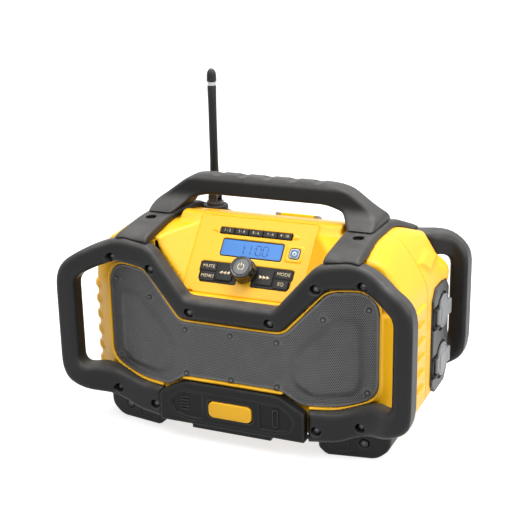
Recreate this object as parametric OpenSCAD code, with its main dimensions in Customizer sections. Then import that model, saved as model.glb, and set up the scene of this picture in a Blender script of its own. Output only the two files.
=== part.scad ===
// Jobsite radio with a roll cage, carry handle, storage bay and battery bay.
// Millimetres. +Z is up, the front faces -Y. The feet stand on z = 0.

/* [Body] */
// Width of the yellow body over its side walls
body_w = 414; // [396:1:420]
// Distance of the flat front of the body from the centre plane
body_front = 118; // [114:0.5:124]
// Distance of the flat rear of the body from the centre plane
body_rear = 109; // [104:0.5:114]
// Height of the underside of the body
body_floor = 30; // [26:0.5:34]
// Height of the ridge behind the control panel
ridge_z = 264; // [260:0.5:270]
// Height of the shoulders that carry the saddles
shoulder_z = 253; // [248:0.5:256]
// Wall thickness of both shells
wall = 3.2; // [2.4:0.1:4.5]
// Sweep of the front side facets, in degrees
sweep = 12.8; // [8:0.2:15]

/* [Roll cage] */
// Width over the loops
cage_w = 456; // [440:1:480]
// Depth over the front and rear loops
cage_d = 270; // [262:1:290]
// Width of a loop bar
bar_w = 26; // [22:0.5:30]
// Depth of a loop bar
bar_d = 26; // [22:0.5:30]
// Height of the tops of the front arms
cage_top = 246; // [240:0.5:250]
// Lowest edge of the cage
cage_low = 22; // [18:0.5:26]
// Height of the band across the control panel
band_h = 26; // [20:0.5:32]

/* [Handle] */
// Height of the top of the grip
handle_top = 309; // [300:1:330]
// Height of the grip section
grip_h = 27; // [22:0.5:32]
// Depth of the grip section
grip_d = 30; // [26:0.5:36]
// Width of the level part of the grip
grip_w = 184; // [160:1:200]

/* [Saddles and feet] */
// Width of a saddle
saddle_w = 50; // [40:1:54]
// Thickness of a saddle over the shoulder
saddle_t = 9; // [6:0.5:12]
// Width of a foot
foot_w = 88; // [70:1:96]
// Depth of a foot
foot_d = 46; // [36:1:60]

/* [Control panel] */
// Tilt of the panel from the level, in degrees
panel_tilt = 50; // [44:1:54]
// Half of the panel's width at its floor
panel_half = 76; // [72:0.5:84]
// Panel thickness
panel_t = 3; // [2:0.1:4]
// Display window width
lcd_w = 80; // [70:1:86]
// Display window height
lcd_h = 22.5; // [18:0.5:26]
// Knob diameter
knob_d = 30.5; // [24:0.5:32]
// Height of the knob over the panel
knob_h = 18.5; // [14:0.5:24]
// Number of preset keys
preset_count = 5; // [5:1:5]
// Length of one preset key
preset_l = 17.6; // [14:0.1:18]
// Travel of the keys
key_travel = 1; // [0.6:0.1:1.4]

/* [Speakers] */
// Distance of each speaker from the middle
speaker_x = 119; // [110:0.5:124]
// Height of the speaker axes
speaker_z = 138; // [130:0.5:146]
// Radius of the speaker cut-out
speaker_r = 36; // [32:0.5:38]
// Throw of a cone each way
cone_throw = 2; // [1:0.1:3]

/* [Storage bay] */
// Length of the storage door
door_w = 188; // [170:1:196]
// Height of the door's middle
door_top = 79; // [74:0.5:82]
// Width of the storage bay
bay_w = 150; // [130:1:156]
// Length of the door's latch
latch_w = 56; // [40:1:64]

/* [Battery bay] */
// Width of the battery door
pack_door_w = 140; // [120:1:150]
// Width of the battery bay
pack_w = 124; // [110:1:130]
// Height of the battery bay
pack_h = 116; // [100:1:120]

/* [Sockets and antenna] */
// Height of the socket plate
plate_h = 136; // [126:1:142]
// Width of the socket plate
plate_w = 68; // [62:1:72]
// Diameter of a socket flap
flap_d = 47; // [42:0.5:48]
// Length of the antenna over its pivot
antenna_l = 166; // [120:1:200]
// Radius of the antenna
antenna_r = 5.8; // [4.5:0.1:7]

/* [Fits] */
// Radial running clearance of pins in bores
run = 0.05; // [0.02:0.01:0.1]
// Gap around keys, doors and flaps
gap = 0.6; // [0.3:0.05:0.8]

/* [Hidden] */
$fn = 48;

yellow = "gold";
black = "dimgray";
steel = "silver";
board = "seagreen";

big = 600;
side_x = body_w / 2;
flat_x = 59;
face_x = side_x - 29;
face_y = body_front - (face_x - flat_x) * tan(sweep);
flank_y = face_y - 18;
rear_flat_x = 60;
rear_face_x = side_x - 17;
rear_face_y = body_rear - 11;
rear_side_y = body_rear - 21;
floor_in = body_floor + wall;

// The cage is let into the body by this depth.
seat_depth = 22;
seat_slope = 0.17;
seat_edge_x = 165;
seat_y = body_front - seat_depth;
seat_edge_y = seat_y - (seat_edge_x - flat_x) * seat_slope;
rear_seat_y = body_rear - 9;
rear_seat_drop = 10;
rear_edge_x = 165;
rear_end_x = 185;

band_top = 184;
band_low = band_top - band_h;
loop_x = cage_w / 2;
loop_in = loop_x - bar_w;
loop_y = cage_d / 2;
loop_back = loop_y - bar_d;
door_seam = door_w / 2 + gap * 2.5;
cage_front = body_front + 5;
cage_thick_x = 106;

// Origin of the panel's own axes: the knob's axis on the panel's face.
panel_z = 207.7;
panel_y = -68.4;
panel_low = (band_top - panel_z) / sin(panel_tilt);
panel_high = (ridge_z - 3 - panel_z) / sin(panel_tilt);
notch_half = 108;
notch_rise = 29;
saddle_x = notch_half;

split_y = 0;

// ---------------------------------------------------------------- outline tools

function flip_x(p) = [for (i = [len(p) - 1 : -1 : 0]) [-p[i][0], p[i][1]]];
function both_sides(p) = concat(p, flip_x(p));
function toward(a, b, d) = a + (b - a) * min(d / norm(b - a), 0.49);
function bend(a, v, b, d, n) = let (p = toward(v, a, d), q = toward(v, b, d))
    [for (k = [0 : n]) let (t = k / n) (1 - t) * (1 - t) * p + 2 * t * (1 - t) * v + t * t * q];

// Rounds each corner of a closed outline given as [x, y, corner length].
function soft(p, n = 4) = [for (i = [0 : len(p) - 1])
    let (a = p[(i + len(p) - 1) % len(p)], v = p[i], b = p[(i + 1) % len(p)])
    each (v[2] > 0 ? bend([a[0], a[1]], [v[0], v[1]], [b[0], b[1]], v[2], n) : [[v[0], v[1]]])];
function flip3(p) = [for (i = [len(p) - 1 : -1 : 0]) [-p[i][0], p[i][1], p[i][2]]];
// Mirrors the right half of an outline and rounds the whole.
function soft_both(p, n = 4) = soft(concat(p, flip3(p)), n);

// Extrudes a front view (x, z) from y0 to y1.
module through_y(y0, y1) translate([0, y1, 0]) rotate([90, 0, 0]) linear_extrude(y1 - y0) children();
// Extrudes a side view (y, z) from x0 to x1.
module through_x(x0, x1) translate([x0, 0, 0]) rotate([90, 0, 90]) linear_extrude(x1 - x0) children();
// Extrudes a plan (x, y) over the whole height.
module through_z(z0 = 0, z1 = big) translate([0, 0, z0]) linear_extrude(z1 - z0) children();
module box(a, b) translate(a) cube(b - a);
module rod_y(x, z, r, y0, y1) translate([x, y1, z]) rotate([90, 0, 0]) cylinder(r = r, h = y1 - y0);
module rod_x(y, z, r, x0, x1) translate([x0, y, z]) rotate([0, 90, 0]) cylinder(r = r, h = x1 - x0);
module mirrored() { children(); mirror([1, 0, 0]) children(); }
// Places children in the panel's axes: x across, y up the slope, z off its face.
module on_panel() translate([0, panel_y, panel_z]) rotate([panel_tilt, 0, 0]) children();
// Places children on a speaker's axis, -y pointing out through the grille.
module on_speaker(side) translate([side * speaker_x, -facet_y(speaker_x), speaker_z])
    rotate([0, 0, side * sweep]) children();
function facet_y(x) = body_front - max(0, abs(x) - flat_x) * tan(sweep);
function seat_at(x) = seat_y - max(0, abs(x) - flat_x) * seat_slope;

// ---------------------------------------------------------------- body

plan = both_sides([[flat_x, -body_front], [face_x, -face_y], [side_x, -flank_y], [side_x, rear_side_y],
    [rear_face_x, rear_face_y], [rear_flat_x, body_rear]]);
cavity_plan = both_sides([[flat_x, -(seat_y - wall)], [seat_edge_x, -(seat_edge_y - wall)],
    [side_x - wall, -(seat_edge_y - wall - 8)], [side_x - wall, rear_side_y - wall],
    [rear_end_x, rear_seat_y - rear_seat_drop - wall], [rear_edge_x, rear_seat_y - rear_seat_drop - wall],
    [rear_flat_x, rear_seat_y - wall]]);
front_zone = both_sides([[big, -big], [big, -seat_edge_y], [seat_edge_x, -seat_edge_y], [flat_x, -seat_y]]);

function front_view(t) = both_sides([[side_x - 24 - t / 2, body_floor + t], [side_x - t, 44 + t / 2],
    [side_x - t, 192 - t / 2], [saddle_x + saddle_w + 16, shoulder_z - 8 - t], [140, ridge_z + 6]]);
function shoulder_view(t) = [[-body_front - 2, body_floor + t], [-body_front - 2, shoulder_z - 22 - t],
    [-106, shoulder_z - 14 - t], [-34, shoulder_z - t], [32, shoulder_z - t],
    [100, shoulder_z - 24 - t], [body_rear + 2, shoulder_z - 32 - t], [body_rear + 2, body_floor + t]];
ridge_y = panel_y + (ridge_z - panel_z) / tan(panel_tilt);
function centre_view(t) = [[-body_front - 2, body_floor + t], [-body_front - 2, band_top - t],
    [panel_y + (band_top - panel_z) / tan(panel_tilt) + t, band_top - t], [ridge_y - 2, ridge_z - 2 - t],
    [ridge_y + 4, ridge_z - t], [ridge_y + 12, ridge_z - 1.5 - t], [97, ridge_z - 35 - t],
    [body_rear + 2, ridge_z - 44 - t], [body_rear + 2, body_floor + t]];

// The hollow in which the control panel lies; t widens it for the cavity below.
module notch(t = 0) intersection() {
    on_panel() rotate([90, 0, 0]) translate([0, 0, -(panel_high + t)]) linear_extrude(big)
        polygon(both_sides([[panel_half + t, -panel_t - t], [panel_half + t, -t],
            [notch_half + t, notch_rise - t], [notch_half + t, big / 3]]));
    box([-big, -big, band_top - t], [big, big, big]);
}

module body_form(t, outline) intersection() {
    through_z() polygon(outline);
    difference() {
        union() {
            intersection() {
                through_y(-big, big) polygon(front_view(t));
                through_x(-big, big) polygon(shoulder_view(t));
            }
            through_x(-notch_half + 2 + t, notch_half - 2 - t) polygon(centre_view(t));
        }
        notch(t);
    }
}
module body_outer() body_form(0, plan);
module body_cavity() body_form(wall, cavity_plan);

// Outline of the grille's pocket; t shrinks it.
function grille_outline(t) = soft_both([[flat_x + 3, door_top + 1.6 + t, 4], [flat_x + 27, 63 + t, 8],
    [130, 63 + t, 16], [164, 74 + t, 10], [face_x - t, 86 + t, 10], [face_x - t, 199 - t, 14],
    [158, 213.8 - t, 12], [118, 211.8 - t, 10], [66 + t / 2, band_low - t, 8]]);
function plateau_outline(t) = soft([[72 + t, 112, 6], [80 + t, 136 - t / 2, 6], [128, 179 - t, 10],
    [150, 180 - t, 8], [158 - t, 170, 8], [158 - t, 100, 8], [148, 83 + t, 8], [100, 77 + t, 10],
    [78 + t, 92, 8]]);
door_outline = soft_both([[door_w / 2, cage_low + 2, 1.5], [door_w / 2, 61, 3],
    [flat_x + 2, door_top, 6]], 3);
module door_zone() through_y(-big / 2, -body_front + 12) union() {
    box2(-door_seam, cage_low - 6, door_seam, 50);
    polygon([[-door_seam, 49], [-door_seam, 62], [-flat_x - 2, door_top + 1], [flat_x + 2, door_top + 1],
        [door_seam, 62], [door_seam, 49]]);
}
module box2(x0, y0, x1, y1) translate([x0, y0]) square([x1 - x0, y1 - y0]);

// Height of the lowest row of grille screws.
grille_row = door_top + 9.2;
grille_screws = [[163, 189], [112, 175], [162, 88], [flat_x, 144], [flat_x, grille_row],
    [0, 144], [0, grille_row]];
cage_screws = [[160, 221.3], [105.7, 213.2], [51.5, 167.4], [159.2, 49.8], [105.9, 38]];

rib_count = 6;
rib_pitch = 20.5;
module side_ribs(s) for (i = [0 : rib_count - 1])
    mirror([s < 0 ? 1 : 0, 0, 0]) box([side_x - 12, -flank_y + 2, 66 + i * rib_pitch],
        [side_x + 2.2, -flank_y + 56, 74 + i * rib_pitch]);

module front_half() box([-big, -big, 0], [big, split_y, big]);

// The moulded shell with its pocket for the grille, before the mouths are cut.
module front_shell() difference() {
    intersection() {
        body_outer();
        front_half();
    }
    body_cavity();
    intersection() {
        through_y(-big, 0) polygon(grille_outline(wall));
        through_z() polygon(front_zone);
    }
}
// Posts that the grille's screws go into; g widens them for what lies around them.
module grille_posts(g = 0) for (p = grille_screws, s = [-1, 1])
    rod_y(s * p[0], p[1], post_r + g, -(facet_y(abs(p[0]) + post_r) - grille_depth), -(seat_at(p[0]) - 2));
module front_housing() color(yellow) difference() {
    union() {
        difference() {
            union() {
                front_shell();
                intersection() {
                    union() {
                        side_ribs(-1);
                        side_ribs(1);
                    }
                    front_half();
                }
                for (s = [-1, 1]) on_speaker(s)
                    rod_y(0, 0, speaker_r + 9, speaker_seat, speaker_seat + 12);
                intersection() {
                    for (p = cage_screws, s = [-1, 1])
                        rod_y(s * p[0], p[1], post_r, -body_front, -seat_at(p[0]) + boss_l);
                    body_outer();
                }
            }
            for (s = [-1, 1]) on_speaker(s) rod_y(0, 0, speaker_r, 0, 70);
            cage_solid_front();
            door_zone();
            box([-bay_w / 2, -big, floor_in], [bay_w / 2, -60, floor_in + bay_h]);
            on_panel() translate([0, (panel_low + panel_high) / 2, 0])
                cube([panel_half * 2 - ledge * 2, panel_high - panel_low - ledge * 2, 30], center = true);
        }
        grille_posts();
        foot_lugs(-1);
    }
    for (p = grille_screws, s = [-1, 1]) at_facet(s * p[0], p[1])
        rod_y(0, 0, grille_shank_r + run, 1, grille_depth + grille_bite + 1);
    for (p = cage_screws, s = [-1, 1])
        rod_y(s * p[0], p[1], shank_r + run, -seat_at(p[0]) - 2, -seat_at(p[0]) + bite + 1);
}
grille_t = 2.2;
grille_depth = 1 + grille_t;
speaker_seat = 13;
bay_h = 34;
ledge = 7;
post_r = 4.5;
// Depth of the posts behind the cage and how far the screws go into them.
boss_l = 12;
bite = 9;
grille_bite = 5;
grille_shank_r = 1.4;
grille_head_r = 3.8;

module rear_housing() color(yellow) difference() {
    union() {
        difference() {
            intersection() {
                body_outer();
                box([-big, split_y, 0], [big, big, big]);
            }
            body_cavity();
        }
        mirrored() box([pack_door_w / 2 + gap * 2, body_rear - 2, pack_hinge_z - 6],
            [pack_door_w / 2 + gap * 2 + 6, pack_hinge_y + 5, pack_hinge_z + 5]);
        intersection() {
            for (p = rear_screws, s = [-1, 1])
                rod_y(s * p[0], p[1], post_r, rear_seat_at(p[0]) - boss_l, body_rear);
            body_outer();
        }
        foot_lugs(1);
    }
    for (p = rear_screws, s = [-1, 1])
        rod_y(s * p[0], p[1], shank_r + run, rear_seat_at(p[0]) - bite - 1, body_rear);
    rod_x(pack_hinge_y, pack_hinge_z, pin_r + run, -pack_door_w / 2 - 20, pack_door_w / 2 + 20);
    cage_solid_rear();
    // Battery bay mouth, the door's recess and the socket plate's window.
    box([-pack_w / 2, 20, pack_low], [pack_w / 2, big, pack_low + pack_h]);
    box([-pack_door_w / 2 - gap, body_rear - 4, pack_low - 12],
        [pack_door_w / 2 + gap, big, pack_door_top + gap]);
    through_x(side_x - wall - 8, side_x + 5) polygon(plate_outline);
    rod_x(inlet_y, inlet_z, inlet_r + run, -side_x - 10, -side_x + 10);
}
pack_low = 72;
pack_door_top = 214;
pack_hinge_y = body_rear + 6;
pack_hinge_z = pack_low - 8;
plate_y = rear_side_y - 2 - plate_w;
plate_z = 44;
plate_cut = 13;
plate_outline = let (y0 = plate_y, y1 = y0 + plate_w, z0 = plate_z, z1 = z0 + plate_h, c = plate_cut)
    [[y0, z0 + c], [y0 + c, z0], [y1 - c, z0], [y1, z0 + c],
    [y1, z1 - c], [y1 - c, z1], [y0 + c, z1], [y0, z1 - c]];
inlet_y = 40;
inlet_z = 70;
inlet_r = 8;

// ---------------------------------------------------------------- roll cage

function cage_outer() = [[57, band_top, 6], [106, cage_top - 5, 12], [148, cage_top + 1, 14],
    [191, cage_top - 12, 24], [loop_x, cage_top - 38, 26], [loop_x, 66, 30], [198, 50, 18], [160, 38, 14],
    [131, cage_low + 3, 12], [door_seam, cage_low, 0]];
function cage_inner() = [[door_seam, 62, 0], [128, 63, 12], [164, 75, 12], [180, 81.5, 6], [loop_in, 82, 14],
    [loop_in, 197, 12], [182, 207.5, 8], [158, 216, 8], [118, 213.5, 8], [66, band_low, 6]];
cage_half = concat(cage_outer(), cage_inner());
cage_band = soft_both([[55, -cage_front, 6], [cage_thick_x, -cage_front + 7.5, 14],
    [162, -cage_front + 13, 14], [loop_in - 4, -loop_y, 12], [loop_x, -loop_y, 8], [loop_x, -loop_back, 8],
    [loop_in + 2, -loop_back, 6], [seat_edge_x + 10, -seat_edge_y, 10], [seat_edge_x, -seat_edge_y, 0],
    [flat_x, -seat_y, 0]], 3);

module cage_solid_front() intersection() {
    through_y(-big / 2, 0) polygon(soft_both(cage_half));
    through_z() polygon(cage_band);
}
hole_r = 6;
hole_depth = 7.5;
head_r = 4.6;
head_h = 3;
shank_r = 2.1;
function band_front(x) = cage_front - (x > 105 ? 7.5 + (x - 105) * 0.1 : (x > 52 ? (x - 52) * 0.142 : 0));

module front_cage() color(black) difference() {
    cage_solid_front();
    for (p = cage_screws, s = [-1, 1]) {
        rod_y(s * p[0], p[1], hole_r, -big / 2, -band_front(p[0]) + hole_depth);
        rod_y(s * p[0], p[1], shank_r + 0.1, -big / 2, 0);
    }
    for (s = [-1, 1]) rod_x(hinge_y, hinge_z, pin_r + run, s * (door_seam + 2) - 4, s * (door_seam + 2) + 4);
}
hinge_y = -body_front + 5;
hinge_z = cage_low + 7;
pin_r = 2.5;

rear_half = [[pack_door_w / 2 + 4, 190, 4], [pack_door_w / 2 + 4, 214, 6], [104, 231, 12], [196, 231, 24],
    [loop_x, 204, 20], [loop_x, 66, 30], [196, 44, 20], [160, 38, 12], [131, cage_low + 3, 12]];
rear_half_in = [[84, 50, 10], [112, 62, 10], [160, 72, 10], [178, 85, 8], [loop_in, 85, 14],
    [loop_in, 200, 14], [172, 200, 4], [110, 196, 8]];
rear_band = soft_both([[70, body_rear + 13, 6], [162, body_rear + 6, 14], [loop_in - 4, loop_y, 12],
    [loop_x, loop_y, 8], [loop_x, loop_back, 8], [loop_in + 2, loop_back, 6],
    [rear_end_x, rear_seat_y - rear_seat_drop, 10], [rear_edge_x, rear_seat_y - rear_seat_drop, 0],
    [rear_flat_x, rear_seat_y, 0]], 3);
module cage_solid_rear() intersection() {
    union() {
        through_y(0, big / 2) mirrored() polygon(concat(soft(concat(rear_half, rear_half_in))));
        through_y(0, big / 2) polygon(both_sides([[132, cage_low + 3], [132, 60], [84, 50]]));
    }
    through_z() polygon(rear_band);
}
rear_screws = [[160, 214], [104, 214], [159, 54], [106, 40]];
module rear_cage() color(black) difference() {
    cage_solid_rear();
    for (p = rear_screws, s = [-1, 1]) {
        rod_y(s * p[0], p[1], hole_r, rear_front(p[0]) - hole_depth, big / 2);
        rod_y(s * p[0], p[1], shank_r + 0.1, 0, big / 2);
    }
}
function rear_front(x) = body_rear + 13 - (x - 70) * 7 / 92;
function rear_seat_at(x) = rear_seat_y - (x - rear_flat_x) * rear_seat_drop / (rear_edge_x - rear_flat_x);

// ---------------------------------------------------------------- grille

// A sheet that follows the bowed front, from d0 to d1 behind it.
module facet_sheet(d0, d1) through_z() polygon(both_sides([[flat_x, -(body_front - d0)],
    [side_x, -(facet_y(side_x) - d0)], [side_x, -(facet_y(side_x) - d1)], [flat_x, -(body_front - d1)]]));
module at_facet(x, z) translate([x, -facet_y(x), z])
    rotate([0, 0, abs(x) > flat_x + 5 ? sign(x) * sweep : 0]) children();
plateau_h = 4;
module speaker_grille() color(black) difference() {
    union() {
        intersection() {
            through_y(-big / 2, 0) polygon(grille_outline(wall + 0.2));
            facet_sheet(1, grille_depth);
        }
        intersection() {
            through_y(-big / 2, 0) mirrored() polygon(plateau_outline(0));
            facet_sheet(1 - plateau_h, grille_depth);
        }
    }
    intersection() {
        through_y(-big / 2, 0) mirrored() polygon(plateau_outline(2));
        facet_sheet(grille_depth - plateau_h, 20);
    }
    for (p = grille_screws, s = [-1, 1]) at_facet(s * p[0], p[1]) rod_y(0, 0, 1.7, -5, 8);
}

// ---------------------------------------------------------------- handle, saddles, feet

grip_y = 6;
saddle_top = shoulder_z + saddle_t;
leg_out = saddle_x + saddle_w - 9;
grip_low = handle_top - grip_h;
groove_count = 5;
module handle() color(black) difference() {
    intersection() {
        through_y(-80, 90) polygon(both_sides(soft2([[grip_w / 2 - 18, grip_low, 0],
            [grip_w / 2 - 10, grip_low, 6], [saddle_x + 5, saddle_top, 0],
            [leg_out, saddle_top, 0], [leg_out, saddle_top + 9, 5],
            [grip_w / 2 + 9, handle_top - 5, 10], [grip_w / 2 - 6, handle_top, 0]])));
        through_x(-big, big) polygon(soft([[-38, saddle_top, 0], [36, saddle_top, 0],
            [grip_y + grip_d / 2, grip_low - 4, 8], [grip_y + grip_d / 2, handle_top, 9],
            [grip_y - grip_d / 2, handle_top, 9], [grip_y - grip_d / 2, grip_low - 4, 8]]));
    }
    for (i = [0 : groove_count - 1]) rod_y((i - (groove_count - 1) / 2) * 33, handle_top + 14, 16, -60, 60);
}
// Rounds the inner corners of an open half outline.
function soft2(p) = [for (i = [0 : len(p) - 1]) each (p[i][2] > 0 ? bend([p[i - 1][0], p[i - 1][1]],
    [p[i][0], p[i][1]], [p[i + 1][0], p[i + 1][1]], p[i][2], 4) : [[p[i][0], p[i][1]]])];

saddle_hole_y = -50;
module saddle(s) color(black) difference() {
    mirror([s < 0 ? 1 : 0, 0, 0]) intersection() {
        through_x(0, big) polygon([[-108, cage_top - 8], [-108, cage_top + 1.2], [-97, cage_top + 6],
            [-38, saddle_top], [36, saddle_top], [100, saddle_top - 24], [112, saddle_top - 30],
            [112, saddle_top - 44], [32, shoulder_z - 24], [-34, shoulder_z - 24]]);
        through_y(-big / 2, big / 2) polygon([[saddle_x + 3, saddle_top - 34], [saddle_x + 6, saddle_top],
            [saddle_x + saddle_w - 9, saddle_top], [saddle_x + saddle_w + 5, saddle_top - 34]]);
    }
    body_outer();
    cage_solid_front();
    cage_solid_rear();
    translate([mast_x, mast_y, mount_top - 40]) cylinder(r = mount_r + gap / 2, h = 60);
    translate([s * (saddle_x + saddle_w * 0.54), saddle_hole_y, saddle_top - 2.6]) rotate([12, 0, 0])
        translate([0, 0, -6]) cylinder(r = 5, h = 20);
}
module saddle_left() saddle(-1);
module saddle_right() saddle(1);

foot_x = 101;
foot_front = 96;
foot_slope = 0.16;
foot_screw_z = 19;
foot_screw_x = foot_x + foot_w * 0.63;
module foot(s, f) color(black) mirror([s < 0 ? 1 : 0, 0, 0]) mirror([0, f > 0 ? 1 : 0, 0]) difference() {
    intersection() {
        through_y(-big / 2, 0) polygon(soft([[foot_x, body_floor, 0], [foot_x, 10, 4], [foot_x + 11, 0, 4],
            [foot_x + foot_w - 17, 0, 8], [foot_x + foot_w - 2, 13, 8], [foot_x + foot_w, body_floor, 0]]));
        through_z(0, body_floor) polygon([[foot_x, -foot_front],
            [foot_x + foot_w, -foot_front + foot_w * foot_slope],
            [foot_x + foot_w, -foot_front + foot_d + 8], [foot_x, -foot_front + foot_d]]);
    }
    if (f < 0) cage_solid_front(); else mirror([0, 1, 0]) cage_solid_rear();
    foot_lug(0.2);
    rod_y(foot_screw_x, foot_screw_z, hole_r, -big / 2, foot_face + foot_hole);
    rod_y(foot_screw_x, foot_screw_z, shank_r + 0.1, -big / 2, foot_seat + lug_gap + 1);
}
foot_face = -foot_front + (foot_screw_x - foot_x) * foot_slope;
foot_hole = 2.5;
foot_seat = foot_face + foot_hole;
lug_gap = 4;
lug_w = 12;
lug_d = 13;
lug_low = 11;
// A lug of the housing that stands in a foot and takes its screw; g widens it.
module foot_lug(g = 0) difference() {
    box([foot_screw_x - lug_w / 2 - g, foot_seat + lug_gap - g, lug_low - g],
        [foot_screw_x + lug_w / 2 + g, foot_seat + lug_gap + lug_d + g, body_floor + 1]);
    if (g == 0)
        rod_y(foot_screw_x, foot_screw_z, shank_r + run, -big / 2, foot_seat + lug_gap + bite + 1);
}
module foot_lugs(f) mirrored() mirror([0, f > 0 ? 1 : 0, 0]) foot_lug();
module foot_front_left() foot(-1, -1);
module foot_front_right() foot(1, -1);
module foot_rear_left() foot(-1, 1);
module foot_rear_right() foot(1, 1);

// ---------------------------------------------------------------- control panel

lcd_v = 29.7;
preset_v = 51.2;
preset_w = 7.6;
preset_pitch = preset_l + gap * 2;
pair_u = 55.5;
pair_v = 30;
pair_size = 13;
pair_face = [-pair_size / 2, -pair_size / 2, pair_size / 2, pair_size / 2];
preset_face = [-preset_l / 2, -preset_w / 2, preset_l / 2, preset_w / 2];
bezel_top = 9;
bezel_low = -17.5;
key_base = gap / 2 + 0.2;
button_base = gap + 0.8;
// Key places: u0, v0, u1, v1 on the left side of the knob.
key_outer_top = [-59, -3.2, -38.4, 7.6];
key_outer_low = [-57, -16, -38.4, -4.6];
key_inner = [-36.6, -14, -knob_d / 2 - 0.25, 5];
left_keys = [key_outer_top, key_outer_low, key_inner];
post_u = panel_half - 12;
posts = [[post_u, -14], [post_u, 52]];
board_w = 13;

module pad(r, grow, w0, w1) translate([0, 0, w0]) linear_extrude(w1 - w0)
    box2(r[0] - grow, r[1] - grow, r[2] + grow, r[3] + grow);
module bezel_shape() polygon([[-60.5, bezel_top - 1.2], [-57, bezel_top], [-10, bezel_top], [-10, bezel_low],
    [-56, bezel_low], [-59, -13], [-59, -5], [-60.5, -3]]);
module control_panel() color(yellow) on_panel() difference() {
    union() {
        translate([0, 0, -panel_t]) linear_extrude(panel_t)
            box2(-panel_half, panel_low + panel_t, panel_half, panel_high);
        for (p = posts, s = [-1, 1]) translate([s * p[0], p[1], -board_w]) cylinder(r = 3, h = board_w - 1);
    }
    pad([-lcd_w / 2, lcd_v - lcd_h / 2, lcd_w / 2, lcd_v + lcd_h / 2], 0, -9, 9);
    pad([-preset_count * preset_pitch / 2, preset_v - preset_w / 2, preset_count * preset_pitch / 2,
        preset_v + preset_w / 2], gap, -9, 9);
    translate([pair_u, pair_v, 0]) pad(pair_face, gap, -9, 9);
    translate([0, 0, -9]) linear_extrude(18) mirrored() bezel_shape();
    translate([0, 0, -9]) cylinder(r = 4.5, h = 18);
}
module display_lens() color("royalblue") on_panel()
    pad([-lcd_w / 2, lcd_v - lcd_h / 2, lcd_w / 2, lcd_v + lcd_h / 2], -0.2, -panel_t, -0.4);
module display_module() color(board) on_panel()
    pad([-lcd_w / 2, lcd_v - lcd_h / 2, lcd_w / 2, lcd_v + lcd_h / 2], 3, -board_w, -panel_t);
module keypad_bezel() color(black) on_panel() difference() {
    translate([0, 0, -panel_t]) linear_extrude(panel_t + 0.4) mirrored() bezel_shape();
    mirrored() for (k = left_keys) pad(k, gap / 2, -9, 9);
}
// A key that stands in its opening, with a foot behind that keeps it in.
module key(r, proud, side = 1) color(black) on_panel() mirror([side > 0 ? 1 : 0, 0, 0]) {
    pad(r, 0, -panel_t - 0.4, proud);
    pad(r, key_base, -panel_t - 0.4 - 1.2, -panel_t - 0.4);
}
module key_mute() key(key_outer_top, 1, -1);
module key_menu() key(key_outer_low, 1, -1);
module key_prev() key(key_inner, 1.8, -1);
module key_next() key(key_inner, 1.8);
module key_mode() key(key_outer_top, 1);
module key_eq() key(key_outer_low, 1);
function preset_u(i) = (i - (preset_count - 1) / 2) * preset_pitch;
module preset(i) color(black) on_panel() translate([preset_u(i), preset_v, 0]) {
    pad(preset_face, 0, -panel_t - 0.4, 1);
    pad([preset_face[0], preset_face[1] - button_base, preset_face[2], preset_face[3] + button_base], 0,
        -panel_t - 1.4, -panel_t - 0.4);
}
module preset_1() preset(0);
module preset_2() preset(1);
module preset_3() preset(2);
module preset_4() preset(3);
module preset_5() preset(4);
module pair_button() color("steelblue") on_panel() translate([pair_u, pair_v, 0]) {
    pad(pair_face, 0, -panel_t - 0.4, 1.2);
    pad(pair_face, button_base, -panel_t - 1.4, -panel_t - 0.4);
}

// ---------------------------------------------------------------- knob and its switch

shaft_r = 3;
plunger_r = 5;
push_travel = 0.8;
knob_low = 1.6;
plunger_top = -4.5;
plunger_low = -9;
module knob() color(black) on_panel() difference() {
    union() {
        translate([0, 0, knob_low]) cylinder(r = knob_d / 2, h = knob_h - knob_low - 2);
        translate([0, 0, knob_h - 2]) cylinder(r1 = knob_d / 2, r2 = knob_d / 2 - 2, h = 2);
    }
    cylinder(r = shaft_r, h = knob_h - 5);
}
module encoder_shaft() color(steel) on_panel() translate([0, 0, plunger_low + 1])
    cylinder(r = shaft_r, h = knob_h - 5 - plunger_low - 1);
module encoder_plunger() color(black) on_panel() difference() {
    translate([0, 0, plunger_low]) cylinder(r = plunger_r, h = plunger_top - plunger_low);
    translate([0, 0, plunger_low + 1 - run]) cylinder(r = shaft_r + run, h = 20);
}
module encoder_body() color(steel) on_panel() difference() {
    translate([-8, -7, -board_w]) cube([16, 14, board_w - 4.2]);
    translate([0, 0, plunger_low - push_travel - 0.3]) cylinder(r = plunger_r + run, h = 20);
}
// A switch on the keypad board whose stem ends one travel behind the foot of its key.
module key_switch(u, v, foot_w) translate([u, v, -board_w]) {
    translate([-3, -3, 0]) cube([6, 6, switch_h]);
    cylinder(r = stem_r, h = board_w - foot_w - key_travel - 0.1);
}
switch_h = 3.5;
stem_r = 1.6;
module keypad_board() color(board) on_panel() {
    pad([-panel_half + 4, -20, panel_half - 4, 58], 0, -board_w - board_t, -board_w);
    mirrored() for (k = left_keys) key_switch((k[0] + k[2]) / 2, (k[1] + k[3]) / 2, panel_t + 1.6);
    for (i = [0 : preset_count - 1])
        key_switch(preset_u(i), preset_v, panel_t + 1.4);
    key_switch(pair_u, pair_v, panel_t + 1.4);
}
board_t = 1.6;

// ---------------------------------------------------------------- electronics

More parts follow.
